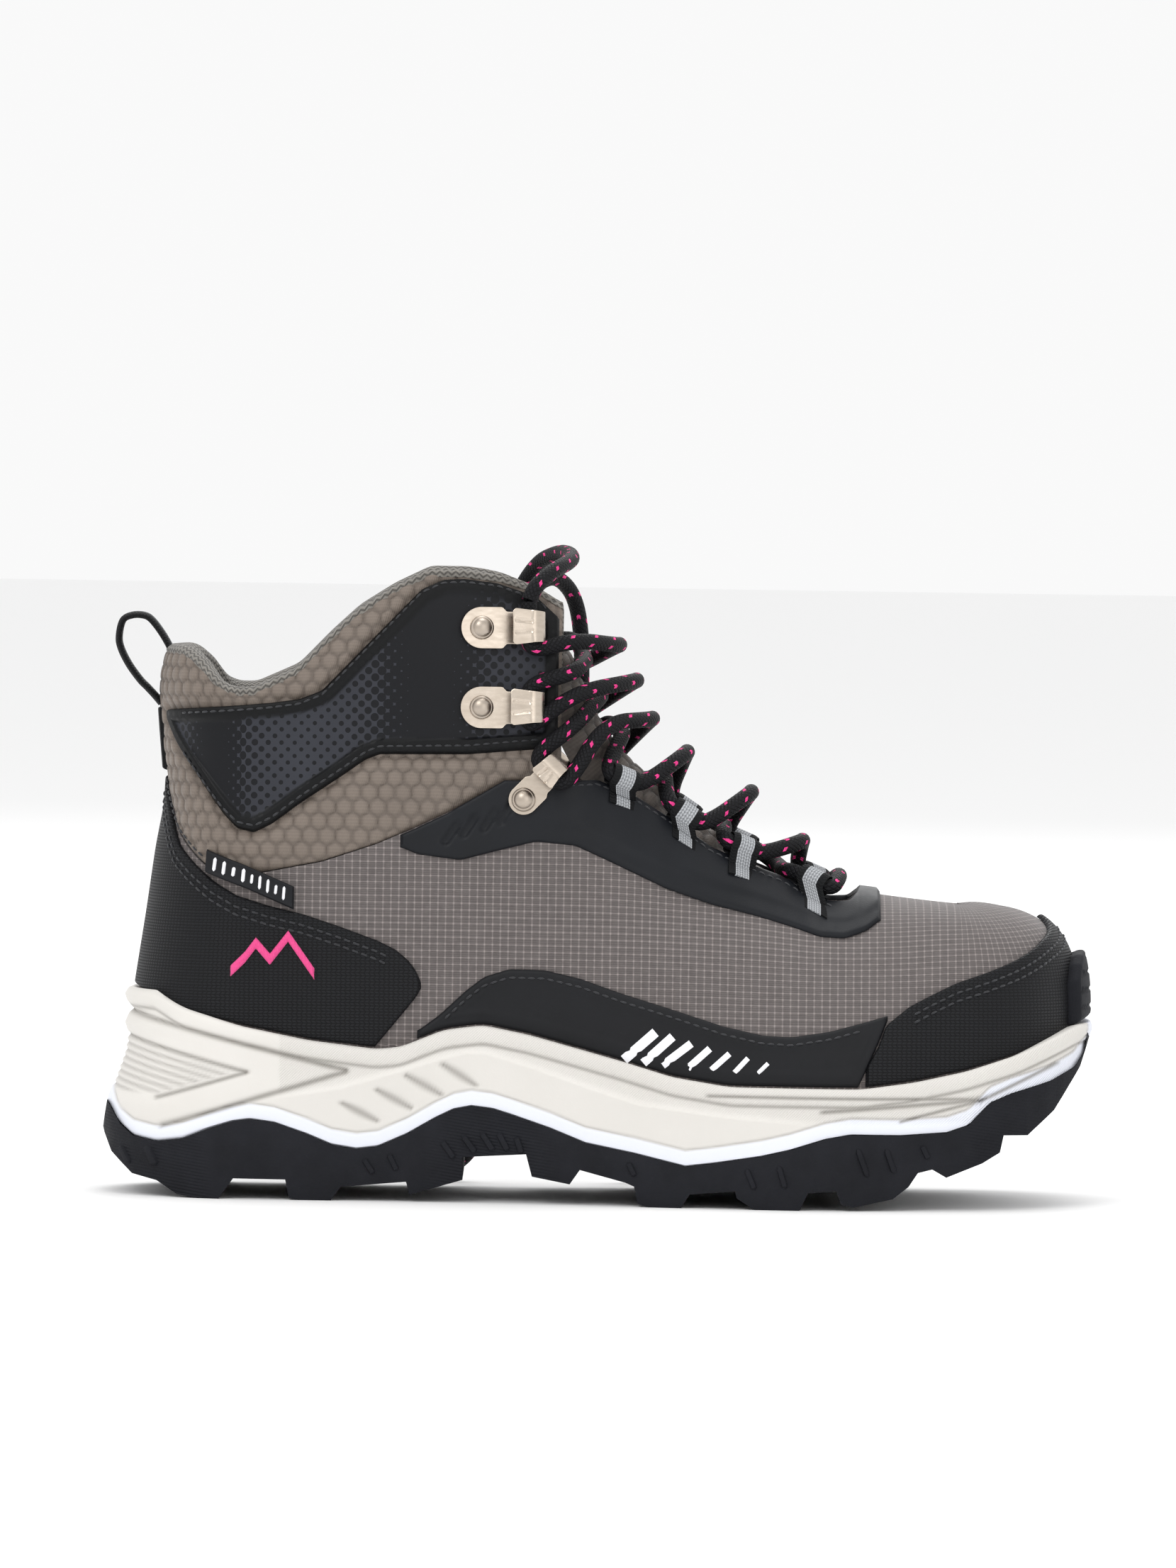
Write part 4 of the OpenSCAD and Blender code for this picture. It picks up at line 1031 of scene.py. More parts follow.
# %% Hooks
def hook_sheet(reach, plate_h, cap_w, flap):
    """A plate with a round back end that narrows, then curls outwards and back over the lace."""
    half, cap, bend = plate_h / 2, cap_w / 2, CURL + PLATE_T
    rows = []
    for a in np.linspace(88, 0, 14):
        rows.append((-half * math.sin(math.radians(a)), half * math.cos(math.radians(a)), 0))
    for x in np.linspace(0, reach, 28)[1:]:
        t = np.clip((x - reach * 0.42) / 1.6, 0, 1)
        rows.append((x, half + (cap - half) * t * t * (3 - 2 * t), 0))
    for a in np.radians(np.linspace(0, 180, 26)[1:]):
        rows.append((reach + bend * math.sin(a), cap * (1 - 0.08 * math.sin(a)), bend * (1 - math.cos(a))))
    w = np.linspace(-1, 1, 29)
    sheet = [[(x, y * k, z) for k in w] for x, y, z in rows]
    for back in np.linspace(0, 1, 18)[1:]:
        y = w * cap * (1 + 0.16 * back - 0.5 * max(0, back - 0.8) ** 2 * 10)
        mark = np.minimum(np.abs(np.abs(y) - cap * 0.42 * (1 - 0.35 * (1 - back))) / 0.34, 9)
        press = 0.4 * np.exp(-mark ** 2) * (back < 0.93)
        sheet.append([(reach - flap * back, b, 2 * bend - 0.5 * back - 0.35 * (b / cap) ** 2 - p)
                      for b, p in zip(y, press)])
    return np.array(sheet)


def hooks(name, slot, node, places, reach, plate_h, cap_w, flap):
    points, faces, start = [], [], 0
    sheet = hook_sheet(reach, plate_h, cap_w, flap)
    along = np.gradient(sheet, axis=0)
    crosswise = np.gradient(sheet, axis=1)
    normal = np.cross(along, crosswise)
    normal /= np.linalg.norm(normal, axis=2)[..., None] + 1e-12
    n, m = sheet.shape[:2]
    for side in (-1, 1):
        for s, z, turn in places:
            for lift in (0.0, PLATE_T):
                points.append(seated((sheet + normal * lift).reshape(-1, 3),
                                     side, s, z, PLATE_OFF, turn))
            faces.append(shell_faces(n, m) + start)
            start += 2 * n * m
    piece = new_piece(name, np.concatenate(points), np.concatenate(faces))
    merge_close(piece)
    finish_with(piece, "BEVEL", width=0.22 * MM, segments=2, limit_method="ANGLE",
                angle_limit=math.radians(55))
    return dress(piece, slot, replaces=[node], smooth=50)


hooks("speed_hook_strips", "nickel", "speed_hooks", HOOKS, 13.5, 11.6, 9.0, 5.6)
hooks("lock_hook_strips", "nickel", "lock_hooks", [LOCK], 11, 8.4, 6.8, 3.6)
print(made)


# %% Rivets
def turned_piece(profile, count=40):
    """Points and faces of a closed round body from radius and height pairs."""
    a = np.linspace(0, 2 * np.pi, count, endpoint=False)
    rings = np.array([[(r * np.cos(t), r * np.sin(t), h) for t in a] for r, h in profile])
    return rings.reshape(-1, 3), grid_faces(len(profile), count, ring=True)


dome = [[0.001, -2.6], [1.5, -2.6], [1.5, 1.1], [2.9, 1.1], [3.25, 1.2], [3.35, 1.5], [3.2, 1.8], [2.9, 2.0],
        [2.72, 1.98], [2.6, 2.1], [2.35, 2.5], [1.9, 2.85], [1.2, 3.15], [0.6, 3.28], [0.001, 3.32]]
ring, quads = turned_piece(dome)
points, faces = [], []
for side in (-1, 1):
    for s, z, _ in HOOKS + [LOCK]:
        faces.append(quads + len(ring) * len(points))
        points.append(seated(ring, side, s, z, PLATE_OFF))
rivets = new_piece("rivet_heads", np.concatenate(points), np.concatenate(faces))
merge_close(rivets)
dress(rivets, "rivet_nickel", replaces=["hook_rivets"], smooth=35)
print(made)

# %% Webbing loops
LACE_D = 4.5
LOOP_X, LOOP_OFF, LOOP_IN, LOOP_LEN = [59.2, 38.8, 22.7, 5.1], 5.2, 2.6, 8.6


def loop_mid(side, x):
    return on_skin(side, x, SEAM(x), LOOP_OFF)


def loop_dir(side, x):
    return unit(loop_mid(side, x - 5) - loop_mid(side, x + 5))


def loop_strap(side, x):
    """A strap that starts on the eyestay, goes round the lace and back under itself."""
    p, d = loop_mid(side, x), loop_dir(side, x)
    down = on_skin(side, x, SEAM(x) - 6, 1.2) - p
    down = unit(down - (down @ d) * d)
    out = unit(np.cross(d, down))
    away = on_skin(side, x, SEAM(x) - 3, 5) - on_skin(side, x, SEAM(x) - 3, 0)
    out = out * (1 if out @ away > 0 else -1)
    r = LOOP_IN + 0.45
    path = []
    for a in np.linspace(-55, 235, 40):
        t = math.radians(a)
        path.append(p + out * r * math.cos(t) - down * r * math.sin(t))
    tail = [on_skin(side, x, SEAM(x) - k, 1.9) for k in np.linspace(2.2, 5.2, 6)]
    return np.array(tail[::-1] + path), d


def strap_mesh(path, wide, thick, cols=9):
    """A flat strap of cloth along a path: wide is a direction and half width at each point."""
    tangent = np.gradient(path, axis=0)
    tangent /= np.linalg.norm(tangent, axis=1)[:, None]
    normal = np.cross(tangent, wide)
    normal /= np.linalg.norm(normal, axis=1)[:, None]
    w = np.linspace(-1, 1, cols)
    edge = thick * (1 - 0.75 * np.abs(w) ** 6)
    middle = path[:, None] + wide[:, None] * w[None, :, None]
    sheets = [middle + normal[:, None] * (edge / 2 * k)[None, :, None] for k in (1, -1)]
    run = np.concatenate([[0], np.cumsum(np.linalg.norm(np.diff(path, axis=0), axis=1))])
    half = np.linalg.norm(wide, axis=1)
    cloth = np.stack([np.repeat(run[:, None], cols, 1), w[None] * half[:, None]], -1).reshape(-1, 2)
    points = np.concatenate([s.reshape(-1, 3) for s in sheets])
    return points, shell_faces(len(path), cols), np.tile(cloth, (2, 1))


points, faces, marks, start = [], [], [], 0
for side in (-1, 1):
    for x in LOOP_X:
        path, d = loop_strap(side, x)
        p, f, c = strap_mesh(path, np.repeat((d * LOOP_LEN / 2)[None], len(path), 0), 0.9)
        points.append(p)
        faces.append(f + start)
        marks.append(c)
        start += len(p)
loops = new_piece("lace_loops", np.concatenate(points), np.concatenate(faces),
                  {"cloth": np.concatenate(marks)})
merge_close(loops)
dress(loops, "loop_webbing", replaces=["webbing_loops"])
print(made)

# %% [markdown]
# ## Lace
# The lace is one round braid. It rises in a zigzag from the lowest crossing, through the webbing
# loops, under the lock hooks and round the speed hooks. The loops and hooks fix most of its
# route. The heights of the crossings and passes between them are set so that the lace keeps
# clear of the tongue and of itself.

# %% Lace
CROSS_ROWS = [2.3, 3.9, 5.6, 7.1, 8.2, 9.1]
OVER = [4.9, 6.1, 4.6, 4.7, 5.5, 5.3]
PASS_Z, PASS_AT = [129.1, 138.2, 143.3, 152.1], [-8.9, 6.9]
HUMP = [-0.5, 127.4, 9.0]


def loop_pass(side, x):
    p, d = loop_mid(side, x), loop_dir(side, x)
    return [p - d * 6, p, p + d * 6]


def hook_pass(side, hook, reach, past):
    a, b, n = cloth_frame(side, hook[0], hook[1])
    t = math.radians(hook[2])
    p = on_skin(side, hook[0], hook[1]) + n * (PLATE_OFF + PLATE_T + CURL) \
        + (a * math.cos(t) + b * math.sin(t)) * (reach - 0.6)
    d = b * math.cos(t) - a * math.sin(t)
    return [p - d * past, p, p + d * past]


def collar_pass(side, z):
    return [on_skin(side, PASS_AT[0], z, PASS_AT[1])]


def middle(k, to, lift):
    r, d = CROSS_ROWS[k], OVER[k] + LACE_D / 2 + 0.5
    i = int(r)
    n = tongue_ways()[i + 1]
    c = TONGUE[i] * (i + 1 - r) + TONGUE[i + 1] * (r - i)
    x, z = c[0] + n[0] * (d + lift * OVER[k]), c[1] + n[1] * (d + lift * OVER[k])
    y = centre_y(c[0] + n[0] * d)
    return [np.array([x, y - to * 6, z]), np.array([x, y + to * 6, z])]


def strand(side):
    return ([np.array([66.5, centre_y(66.5) + side * 7, 91.5])]
            + loop_pass(side, LOOP_X[0]) + middle(0, -side, side) + loop_pass(-side, LOOP_X[1])
            + middle(1, side, -side) + loop_pass(side, LOOP_X[2]) + middle(2, -side, side)
            + loop_pass(-side, LOOP_X[3]) + middle(3, side, -side) + [on_skin(side, *HUMP)]
            + hook_pass(side, LOCK, 11, 6.5) + collar_pass(side, PASS_Z[0]) + middle(4, -side, side)
            + collar_pass(-side, PASS_Z[1]) + hook_pass(-side, HOOKS[1], 13.5, 6.5)
            + collar_pass(-side, PASS_Z[2]) + middle(5, side, -side) + collar_pass(side, PASS_Z[3])
            + hook_pass(side, HOOKS[0], 13.5, 7))


def rounded(p):
    q = [p[0]]
    for a, b in zip(p[:-1], p[1:]):
        q += [a * 0.75 + b * 0.25, a * 0.25 + b * 0.75]
    return q + [p[-1]]


def tube(route, radius, sides=20, step=0.7):
    """A round cord along a route, with its own measures: length along it and round it."""
    p = np.array(route, float)
    for _ in range(3):
        p = np.array(rounded(list(p)))
    far = np.concatenate([[0], np.cumsum(np.linalg.norm(np.diff(p, axis=0), axis=1))])
    at = np.linspace(0, far[-1], int(far[-1] / step) + 1)
    p = np.stack([np.interp(at, far, p[:, k]) for k in range(3)], 1)
    t = np.gradient(p, axis=0)
    t /= np.linalg.norm(t, axis=1)[:, None]
    a = unit(np.cross(t[0], [0, 1, 0.1]))
    rings = []
    turn = np.linspace(0, 2 * np.pi, sides, endpoint=False)
    for q, d in zip(p, t):
        a = unit(a - (a @ d) * d)
        b = np.cross(d, a)
        rings.append(q + radius * (np.cos(turn)[:, None] * a + np.sin(turn)[:, None] * b))
    rings = np.array(rings)
    n = len(rings)
    faces = [list(f) for f in grid_faces(n, sides, ring=True)]
    faces += [list(range(sides))[::-1], [(n - 1) * sides + k for k in range(sides)]]
    around = np.minimum(turn, 2 * np.pi - turn) * radius
    cloth = np.stack([np.repeat(at[:, None], sides, 1), np.repeat(around[None], n, 0)], -1)
    return rings.reshape(-1, 3), faces, cloth.reshape(-1, 2), p


points, faces, cloth, line = tube(rounded(strand(-1)[::-1] + strand(1)), LACE_D / 2)
lace = new_piece("round_lace", points, faces, {"cloth": cloth})
merge_close(lace)
dress(lace, "lace_braid", replaces=["lace"])
print("laced part", round(np.linalg.norm(np.diff(line, axis=0), axis=1).sum()), "mm;", made)

# %% Loose ends of the lace, each with its aglet
def round_bar(start, way, radius, long):
    """A straight round bar with softened ends."""
    profile = [[0.001, 0], [radius * 0.8, 0], [radius, 0.35], [radius, long - 1.2],
               [radius * 0.75, long - 0.1], [0.001, long]]
    ring, quads = turned_piece(profile, 24)
    a = unit(np.cross(way, [0, 0, 1.0]))
    b = np.cross(way, a)
    return ring[:, :1] * a + ring[:, 1:2] * b + ring[:, 2:] * np.array(way) + start, quads


TAIL_LATERAL = [[-22, -29.5, 168.4], [-20, -28, 173], [-15, -21, 177], [-11, -10, 179], [-10, 2, 180],
                [-11, 14, 181], [-14, 26, 181], [-20, 37, 178], [-26, 44, 168], [-28, 46, 152],
                [-28, 46, 138], [-28, 46, 120], [-29, 46, 100], [-30, 46, 80], [-31, 46, 60], [-32, 46, 40],
                [-33, 46.5, 22], [-36, 49, 9], [-44, 53, 3], [-56, 56, 2.3], [-70, 57, 2.3], [-84, 56, 2.3]]
TAIL_MEDIAL = [[-22, 24.5, 168.4], [-19, 27, 173], [-14, 33, 174], [-9, 40, 168], [-7, 43.5, 156],
               [-7, 45, 142], [-6, 46, 120], [-5, 46, 100], [-4, 46, 80], [-3, 46, 60], [-2, 47, 40],
               [0, 48, 22], [5, 52, 9], [13, 57, 3], [25, 61, 2.3], [39, 64, 2.3],
               [53, 66, 2.3], [67, 67, 2.3]]
for word, route in (("lateral", TAIL_LATERAL), ("medial", TAIL_MEDIAL)):
    points, faces, cloth, line = tube(route, LACE_D / 2)
    tail = new_piece("lace_end_" + word, points, faces, {"cloth": cloth})
    merge_close(tail)
    dress(tail, "lace_braid", replaces=["lace_tail_" + word])
    points, faces = round_bar(line[-1], unit(line[-1] - line[-3]), 1.9, 20)
    tip = new_piece("lace_tip_" + word, points, faces)
    merge_close(tip)
    dress(tip, "aglet_film", replaces=["aglet_" + word])
    long = float(np.linalg.norm(np.diff(line, axis=0), axis=1).sum())
    tuple(line[0] * MM)
    (line * MM).tolist()
    print(tail.name, round(long), "mm")

# %% [markdown]
# ## Pull loop and small labels
# A loop of webbing behind the collar helps to pull the boot on. Its two ends are sewn to the
# boot and its bight swings; here the strap is one fixed shape, put on no body. The heel also carries a
# tape, a small rubber tag and an embroidered ridge line.

# %% Pull loop
BIGHT = np.array([[-121.8, 150.2], [-123.2, 153.4], [-125.6, 157.4], [-128.4, 160.9], [-130.6, 162.1],
                  [-133.8, 162.1],
                  [-136.5, 160.6], [-137.5, 156.1], [-136.9, 152.7], [-134.6, 148.2], [-131.4, 143.9],
                  [-129.4, 141.9], [-127.2, 139.6], [-125.3, 137.4]])
at = np.linspace(0, len(BIGHT) - 1, 90)
path = np.stack([smooth_through(np.arange(len(BIGHT)), BIGHT[:, 0], at), np.zeros(90),
                 smooth_through(np.arange(len(BIGHT)), BIGHT[:, 1], at)], 1)
points, faces, cloth = strap_mesh(path, np.repeat([[0, 5.5, 0]], 90, 0), 1.9, 21)
strap = new_piece("pull_strap", points, faces, {"cloth": cloth})
merge_close(strap)
strap.data.materials.append(FINISH["webbing"])
bpy.ops.object.shade_smooth_by_angle(angle=math.radians(50))
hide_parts("pull_loop", "loop_anchors")
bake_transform(strap)
print("pull strap", len(strap.data.polygons), "faces")

# %% Heel tape, side tag and ridge line
lay("heel_strip", "webbing", round_heel(-131, 0.5), lambda s: 118.5 + 0 * s, lambda s: 136 + 0 * s,
    lambda d, u, v, z: 1.0 + rolled(d, 1.3, 0.6), 0.4, 12, ["heel_tape"])
TAG_LO, TAG_HI = table([[-110, 91], [-86.5, 81]]), table([[-110, 97.4], [-86.5, 87.4]])
lay("tag", "tag_rubber", one_side(-1, -110, -86.5, 0.5), TAG_LO, TAG_HI,
    lambda d, u, v, z: 1.5 + rolled(d, 1.5, 0.5) - 0.3 * (d > 0.9), 1.3, 10, ["side_tag"])


def bars_on(name, slot, place, rows, low, high, replaces=()):
    """Small raised bars: each row is side, start, end and half width, on a surface."""
    points, faces, start, long, wide_by = [], [], 0, 9, 7
    for side, x0, z0, x1, z1, wide in rows:
        t, w = np.meshgrid(np.linspace(0, 1, long), np.linspace(-1, 1, wide_by), indexing="ij")
        far = np.hypot(x1 - x0, z1 - z0)
        end = np.sqrt(np.clip(1 - np.abs(2 * t - 1) ** 12, 0.05, 1))
        px = x0 + (x1 - x0) * t - w * wide * end * (z1 - z0) / far
        pz = z0 + (z1 - z0) * t + w * wide * end * (x1 - x0) / far
        top = low + (high - low) * (1 - w ** 6) * (1 - np.abs(2 * t - 1) ** 14)
        points += [place(side, px, pz, top).reshape(-1, 3), place(side, px, pz, low - 0.15).reshape(-1, 3)]
        faces.append(shell_faces(long, wide_by) + start)
        start += 2 * long * wide_by
    piece = new_piece(name, np.concatenate(points), np.concatenate(faces))
    merge_close(piece)
    return dress(piece, slot, replaces=replaces)


ribs = []
for k, tall in enumerate([1.9, 1.9, 1.3, 1.9, 1.3, 1.9, 1.9, 1.3, 1.9]):
    x = -107.5 + 2.25 * k
    z = (float(TAG_LO(x)) + float(TAG_HI(x))) / 2
    ribs.append((-1, x, z - tall, x + 0.25, z + tall, 0.42))
bars_on("tag_ribs", "white_print", on_skin, ribs, 2.75, 3.1)
RIDGE = table([[-103, 62], [-97, 70], [-93, 65.5], [-88, 72], [-80.5, 61.5]])
lay("ridge_line", "pink_thread", one_side(-1, -103, -80.5, 0.22), RIDGE, lambda s: RIDGE(s) + 3.2,
    lambda d, u, v, z: 1.4 + rolled(d, 0.85, 1.1) + 0.1 * np.sin(u * 9 + v * 2), 1.3, 12, ["heel_badge"])
print(made)

# %% Toe bumper
BUMPER_TOP = table([[128.5, 62], [131, 66.4], [134, 68.8], [140, 69.6]])
lay("toe_guard", "outsole_rubber", round_toe(128.5, 0.35), lambda s: rim(s) + 1, BUMPER_TOP,
    lambda d, u, v, z: 1.5 + rolled(d, 3.4, 1.6) - 0.35 * (np.mod(v, 4.2) < 0.9) * (d > 2),
    1.4, 30, ["toe_bumper"])
print(made)

# %% [markdown]
# ## Sole
# The foam midsole flares out from the upper, with a bead round its top, facets and grooves along
# its side and a paler band above the rubber. The rubber outsole below carries the lugs. The midsole is
# drawn from side profiles, and its plan follows the last; the outsole is the imported one, its edges worn
# round.

# %% Outline of the sole
BOUND = table([[-138.9, 25.7], [-134.8, 19.6], [-131, 16.6], [-124.4, 15.5], [-117, 16.6], [-110, 19.5],
               [-103, 21.8], [-98, 22.5], [-91, 21.6], [-82, 18.6], [-75, 15.7], [-68, 14.6], [-62, 15.4],
               [-54, 19], [-46, 23.7], [-41, 26.2], [-36, 27.2], [-30, 26.5], [-25, 25], [-14, 21.4],
               [-4, 17.5], [10, 14.9], [24, 11.7], [32, 12.8], [45, 15], [53, 16.9], [63, 20.1], [70, 21.4],
               [84, 21.2], [97, 22], [103, 24.1], [109, 30.4], [115, 32.9], [126, 36], [133, 39.5],
               [136, 43.4], [137.2, 48.8]])
BACK = table([[31.3, 36.8], [39.4, 34.1], [44.2, 33.4], [47.4, 34.4], [51.2, 32.7], [55.4, 33.7],
              [59.4, 32.0]])
FLOOR = table([[-136, 50], [-120, 43], [-100, 38.5], [-60, 33], [-36, 34.5], [0, 29], [30, 25.5],
               [60, 25.5], [90, 28.5], [105, 34], [120, 39.5], [136, 47]], 6)


def sole_point(side, s, z, out):
    """A point on the sole's outline moved out from it, with the heel's own profile."""
    t = fan(s)
    back = np.where(z > 31.3, BACK(z), np.interp(z, [25.7, 31.3], [38.9, 36.8]))
    ease = np.sin(np.minimum(t, np.pi / 2)) ** 2
    x = np.where(s < HEEL, HEEL - (back + out) * np.sin(t),
                 np.where(s > TOE, TOE + (37.8 + out) * np.sin(t), s))
    w = half_w(np.clip(s, HEEL, TOE)) - 1.2 + out
    k = np.where(s > TOE, np.maximum(np.cos(t), 0) ** 0.9, np.cos(t))
    return np.stack([x + 0 * z, side * w * k + centre_y(x) + 0 * z, z + 0 * x], -1)


def line_gap(x, z, a, b):
    """Distance in a side view from a straight line, and how far along it."""
    d = np.array([b[0] - a[0], b[1] - a[1]], float)
    t = np.clip(((x - a[0]) * d[0] + (z - a[1]) * d[1]) / (d @ d), 0, 1)
    return np.hypot(x - a[0] - t * d[0], z - a[1] - t * d[1]), t


CREST = table([[-94.3, 27.8], [-73.4, 31.3], [-54.7, 36.8], [-44.1, 40.3], [-37.1, 42], [-31.7, 41.7],
               [-19.9, 38.3], [-3.8, 32.9], [10.7, 28.5], [35, 25.5], [60.8, 23.5]], 2)
GROOVES = [([-132.7, 51.2], [-71.3, 36.5], 0.75, 0.9), ([-133.4, 44.2], [-99, 35.5], 0.6, 0.8),
           ([-123, 19.9], [-71.2, 36.1], 0.75, 0.8), ([-99, 35.5], [-124.5, 27.7], 0.6, 0.7),
           ([62, 27.5], [107, 31.0], 0.6, 0.6), ([30, 31.5], [107, 31.2], 0.5, 0.5),
           ([84, 25], [107, 31.0], 0.5, 0.45), ([107, 31.1], [128, 41], 0.6, 0.5)]
SLASHES = [([-72.3, 27.3], [-62.2, 22.4]), ([-62.6, 31.2], [-52.9, 26.2]), ([-54.4, 35.4], [-44.4, 30.1]),
           ([-44.3, 38.7], [-34.8, 32.9])]


def foam_relief(x, z, lo, hi):
    """How far the side of the midsole stands out, and how much painted shade each point gets in grooves,
    slashes, fine ribs and under the top bead.
    """
    under = hi - z
    off = 0.8 * np.sqrt(np.clip(1 - ((under - 2.4) / 2.4) ** 2, 0, 1))
    # Painted shade in a line just under the top bead.
    low = 0.7 * np.exp(-((under - 5.2) / 0.5) ** 2)
    inside = np.clip((x + 94) / 12, 0, 1) * np.clip((61 - x) / 22, 0, 1)
    above = z - CREST(x)
    off = off + inside * 1.7 * np.where(above > 0, np.exp(-above / 2.2), np.exp(above / 9))
    for a, b, wide, deep in GROOVES:
        gap, _ = line_gap(x, z, a, b)
        cut = np.exp(-(gap / wide) ** 2)
        off, low = off - deep * cut, np.maximum(low, 0.8 * cut)
    for a, b in SLASHES:
        gap, t = line_gap(x, z, a, b)
        cut = np.exp(-(gap / (0.55 + 0.5 * np.sin(np.pi * t))) ** 2)
        off, low = off - 0.9 * cut, np.maximum(low, 0.65 * cut)
    above1 = z - np.interp(x, [-134, -99], [44.2, 35.5])
    above2 = z - np.interp(x, [-124.5, -99], [27.7, 35.5])
    fill = np.clip(-above1 / 1.0, 0, 1) * np.clip((above2 - 0.6) / 1.0, 0, 1) * np.clip((-101 - x) / 2, 0, 1)
    fine_ribs = 0.5 + 0.5 * np.cos((z + 0.25 * x) * 2 * np.pi / 2.1)
    off, low = off - 0.55 * fill * fine_ribs, np.maximum(low, 0.45 * fill * fine_ribs)
    return off, low


def wall_grid(step, rows):
    s = np.linspace(-136, 140, int(276 / step) + 1)
    x = np.where(s < HEEL, HEEL - 38.9 * np.sin(fan(s)), np.where(s > TOE, TOE + 37.8 * np.sin(fan(s)), s))
    lo, hi = BOUND(x) - 0.1, feather(np.clip(x, -130, 135))
    return s, lo, np.maximum(hi, lo + 2), np.linspace(0, 1, rows)


def closed_body(rings):
    """Faces for a body whose cross sections are open paths: rings[side][station][row]."""
    (_, n, m, _), faces = rings.shape, []
    faces += [list(q) for q in grid_faces(n, m)]
    faces += [list(q) for q in grid_faces(n, m, n * m, True)]
    for i in range(n - 1):
        for j in (0, m - 1):
            here, there = i * m + j, (i + 1) * m + j
            faces.append([here, there, n * m + there, n * m + here][::1 if j else -1])
    return faces


# %% Foam midsole
def midsole():
    s, lo, hi, t = wall_grid(0.8, 62)
    z = lo[:, None] + (hi - lo)[:, None] * t
    both = []
    marks = {"low": [], "band": [], "weave": [], "cloth": []}
    for side in (-1, 1):
        flat = sole_point(side, s[:, None], z, 0.0)
        off, low = foam_relief(flat[..., 0], z, lo[:, None], hi[:, None])
        band = 1 / (1 + np.exp((z - lo[:, None] - 4.3) / 0.15))
        seam = np.exp(-((z - lo[:, None] - 4.6) / 0.35) ** 2)
        off = off - 0.35 * seam + 0.25 * band
        off[:, 0] -= 0.6
        off[:, -1] -= 0.5
        wall = sole_point(side, s[:, None], z, off)
        rim_in = skin(side, s, np.zeros_like(s), 0.25)
        rim_in[:, 2] = np.maximum(hi - 0.8, lo + 1)
        inner = skin(side, s, np.full_like(s, -2.0), -0.3)
        inner[:, 2] = np.minimum(FLOOR(inner[:, 0]) - 0.6, rim_in[:, 2] - 0.5)
        root = sole_point(side, s, lo + 0.1, -4.0)
        root[:, 2] = lo + 0.1
        both.append(np.concatenate([root[:, None], wall, rim_in[:, None], inner[:, None]], 1))
        pad = ((0, 0), (1, 2))
        # The low note is painted shade: grooves, slashes, under the top bead and along the band's seam.
        marks["low"].append(np.pad(np.maximum(low, 0.35 * seam), pad))
        marks["band"].append(np.pad(band, pad))
        woven = np.clip((z - CREST(flat[..., 0])) / 2, 0, 1) * (flat[..., 0] > -90)
        marks["weave"].append(np.pad(woven, pad))
        run = np.repeat(side * run_of(s)[:, None], len(t) + 3, 1)
        marks["cloth"].append(np.stack([run, np.pad(z, pad, mode="edge")], -1))
    rings = np.array(both)
    piece = new_piece("foam_midsole", rings.reshape(-1, 3), closed_body(rings),
                      {k: np.array(v).reshape((-1, 2) if k == "cloth" else -1) for k, v in marks.items()})
    merge_close(piece)
    return dress(piece, "midsole_foam", replaces=["midsole"], smooth=50)


midsole()
print(made)

# %% Rubber outsole
def outsole():
    """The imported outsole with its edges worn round, and its own measures for the grain."""
    piece = bpy.data.objects["outsole"].copy()
    piece.data = piece.data.copy()
    for key in list(piece.keys()):
        del piece[key]
    piece.name = piece.data.name = "rubber_outsole"
    bpy.context.scene.collection.objects.link(piece)
    piece.parent = None
    piece.hide_render = piece.hide_viewport = False
    world = bpy.data.objects["outsole"].matrix_world.copy()
    piece.data.transform(world)
    piece.matrix_world = Matrix.Identity(4)
    merge_close(piece)
    finish_with(piece, "BEVEL", width=0.7 * MM, segments=2, limit_method="ANGLE",
                angle_limit=math.radians(40))
    where = np.empty(len(piece.data.vertices) * 3, np.float32)
    piece.data.vertices.foreach_get("co", where)
    where = where.reshape(-1, 3) / MM
    corners = np.empty(len(piece.data.loops), np.int32)
    piece.data.loops.foreach_get("vertex_index", corners)
    for layer in list(piece.data.uv_layers):
        piece.data.uv_layers.remove(layer)
    layer = piece.data.uv_layers.new(name="cloth")
    layer.data.foreach_set("uv", (where[corners][:, [0, 2]] * 0.01).astype(np.float32).ravel())
    note = piece.data.attributes.new("ribbed", "FLOAT", "POINT")
    patch = (np.abs(where[:, 0] + 30) < 14) | (where[:, 0] < -112) | (where[:, 0] > 100)
    note.data.foreach_set("value", patch.astype(np.float32))
    return dress(piece, "outsole_rubber", replaces=["outsole"], smooth=35)


outsole()


def on_rubber(side, x, z, off):
    return sole_point(side, x, z, off + 1.2)


ARCH = [(-44.2, 17.3, -40.5, 12.2), (-38.4, 19, -34.5, 13.9), (-33.2, 19.9, -29.5, 14.5),
        (-28.4, 19.9, -25.5, 14.6), (-23.4, 18.8, -21.7, 14)]
LUGS = [(-124, 13.5, -121, 8.5), (-117, 14.2, -115, 8.5), (-66, 12, -63, 7.5), (-59, 13.5, -56.5, 8.5),
        (8, 12.5, 10, 8.5), (41, 11.5, 43.5, 5.5), (50, 12.5, 52, 6), (72, 17.5, 75, 9.5),
        (80, 17.5, 82.5, 10.5),
        (90, 18.5, 92, 14.5)]
bars_on("sole_bars", "outsole_rubber", on_rubber,
        [(side, *row, 1.0) for side in (-1, 1) for row in ARCH]
        + [(side, *row, 0.9) for side in (-1, 1) for row in LUGS],
        -0.1, 0.7)
print(made)

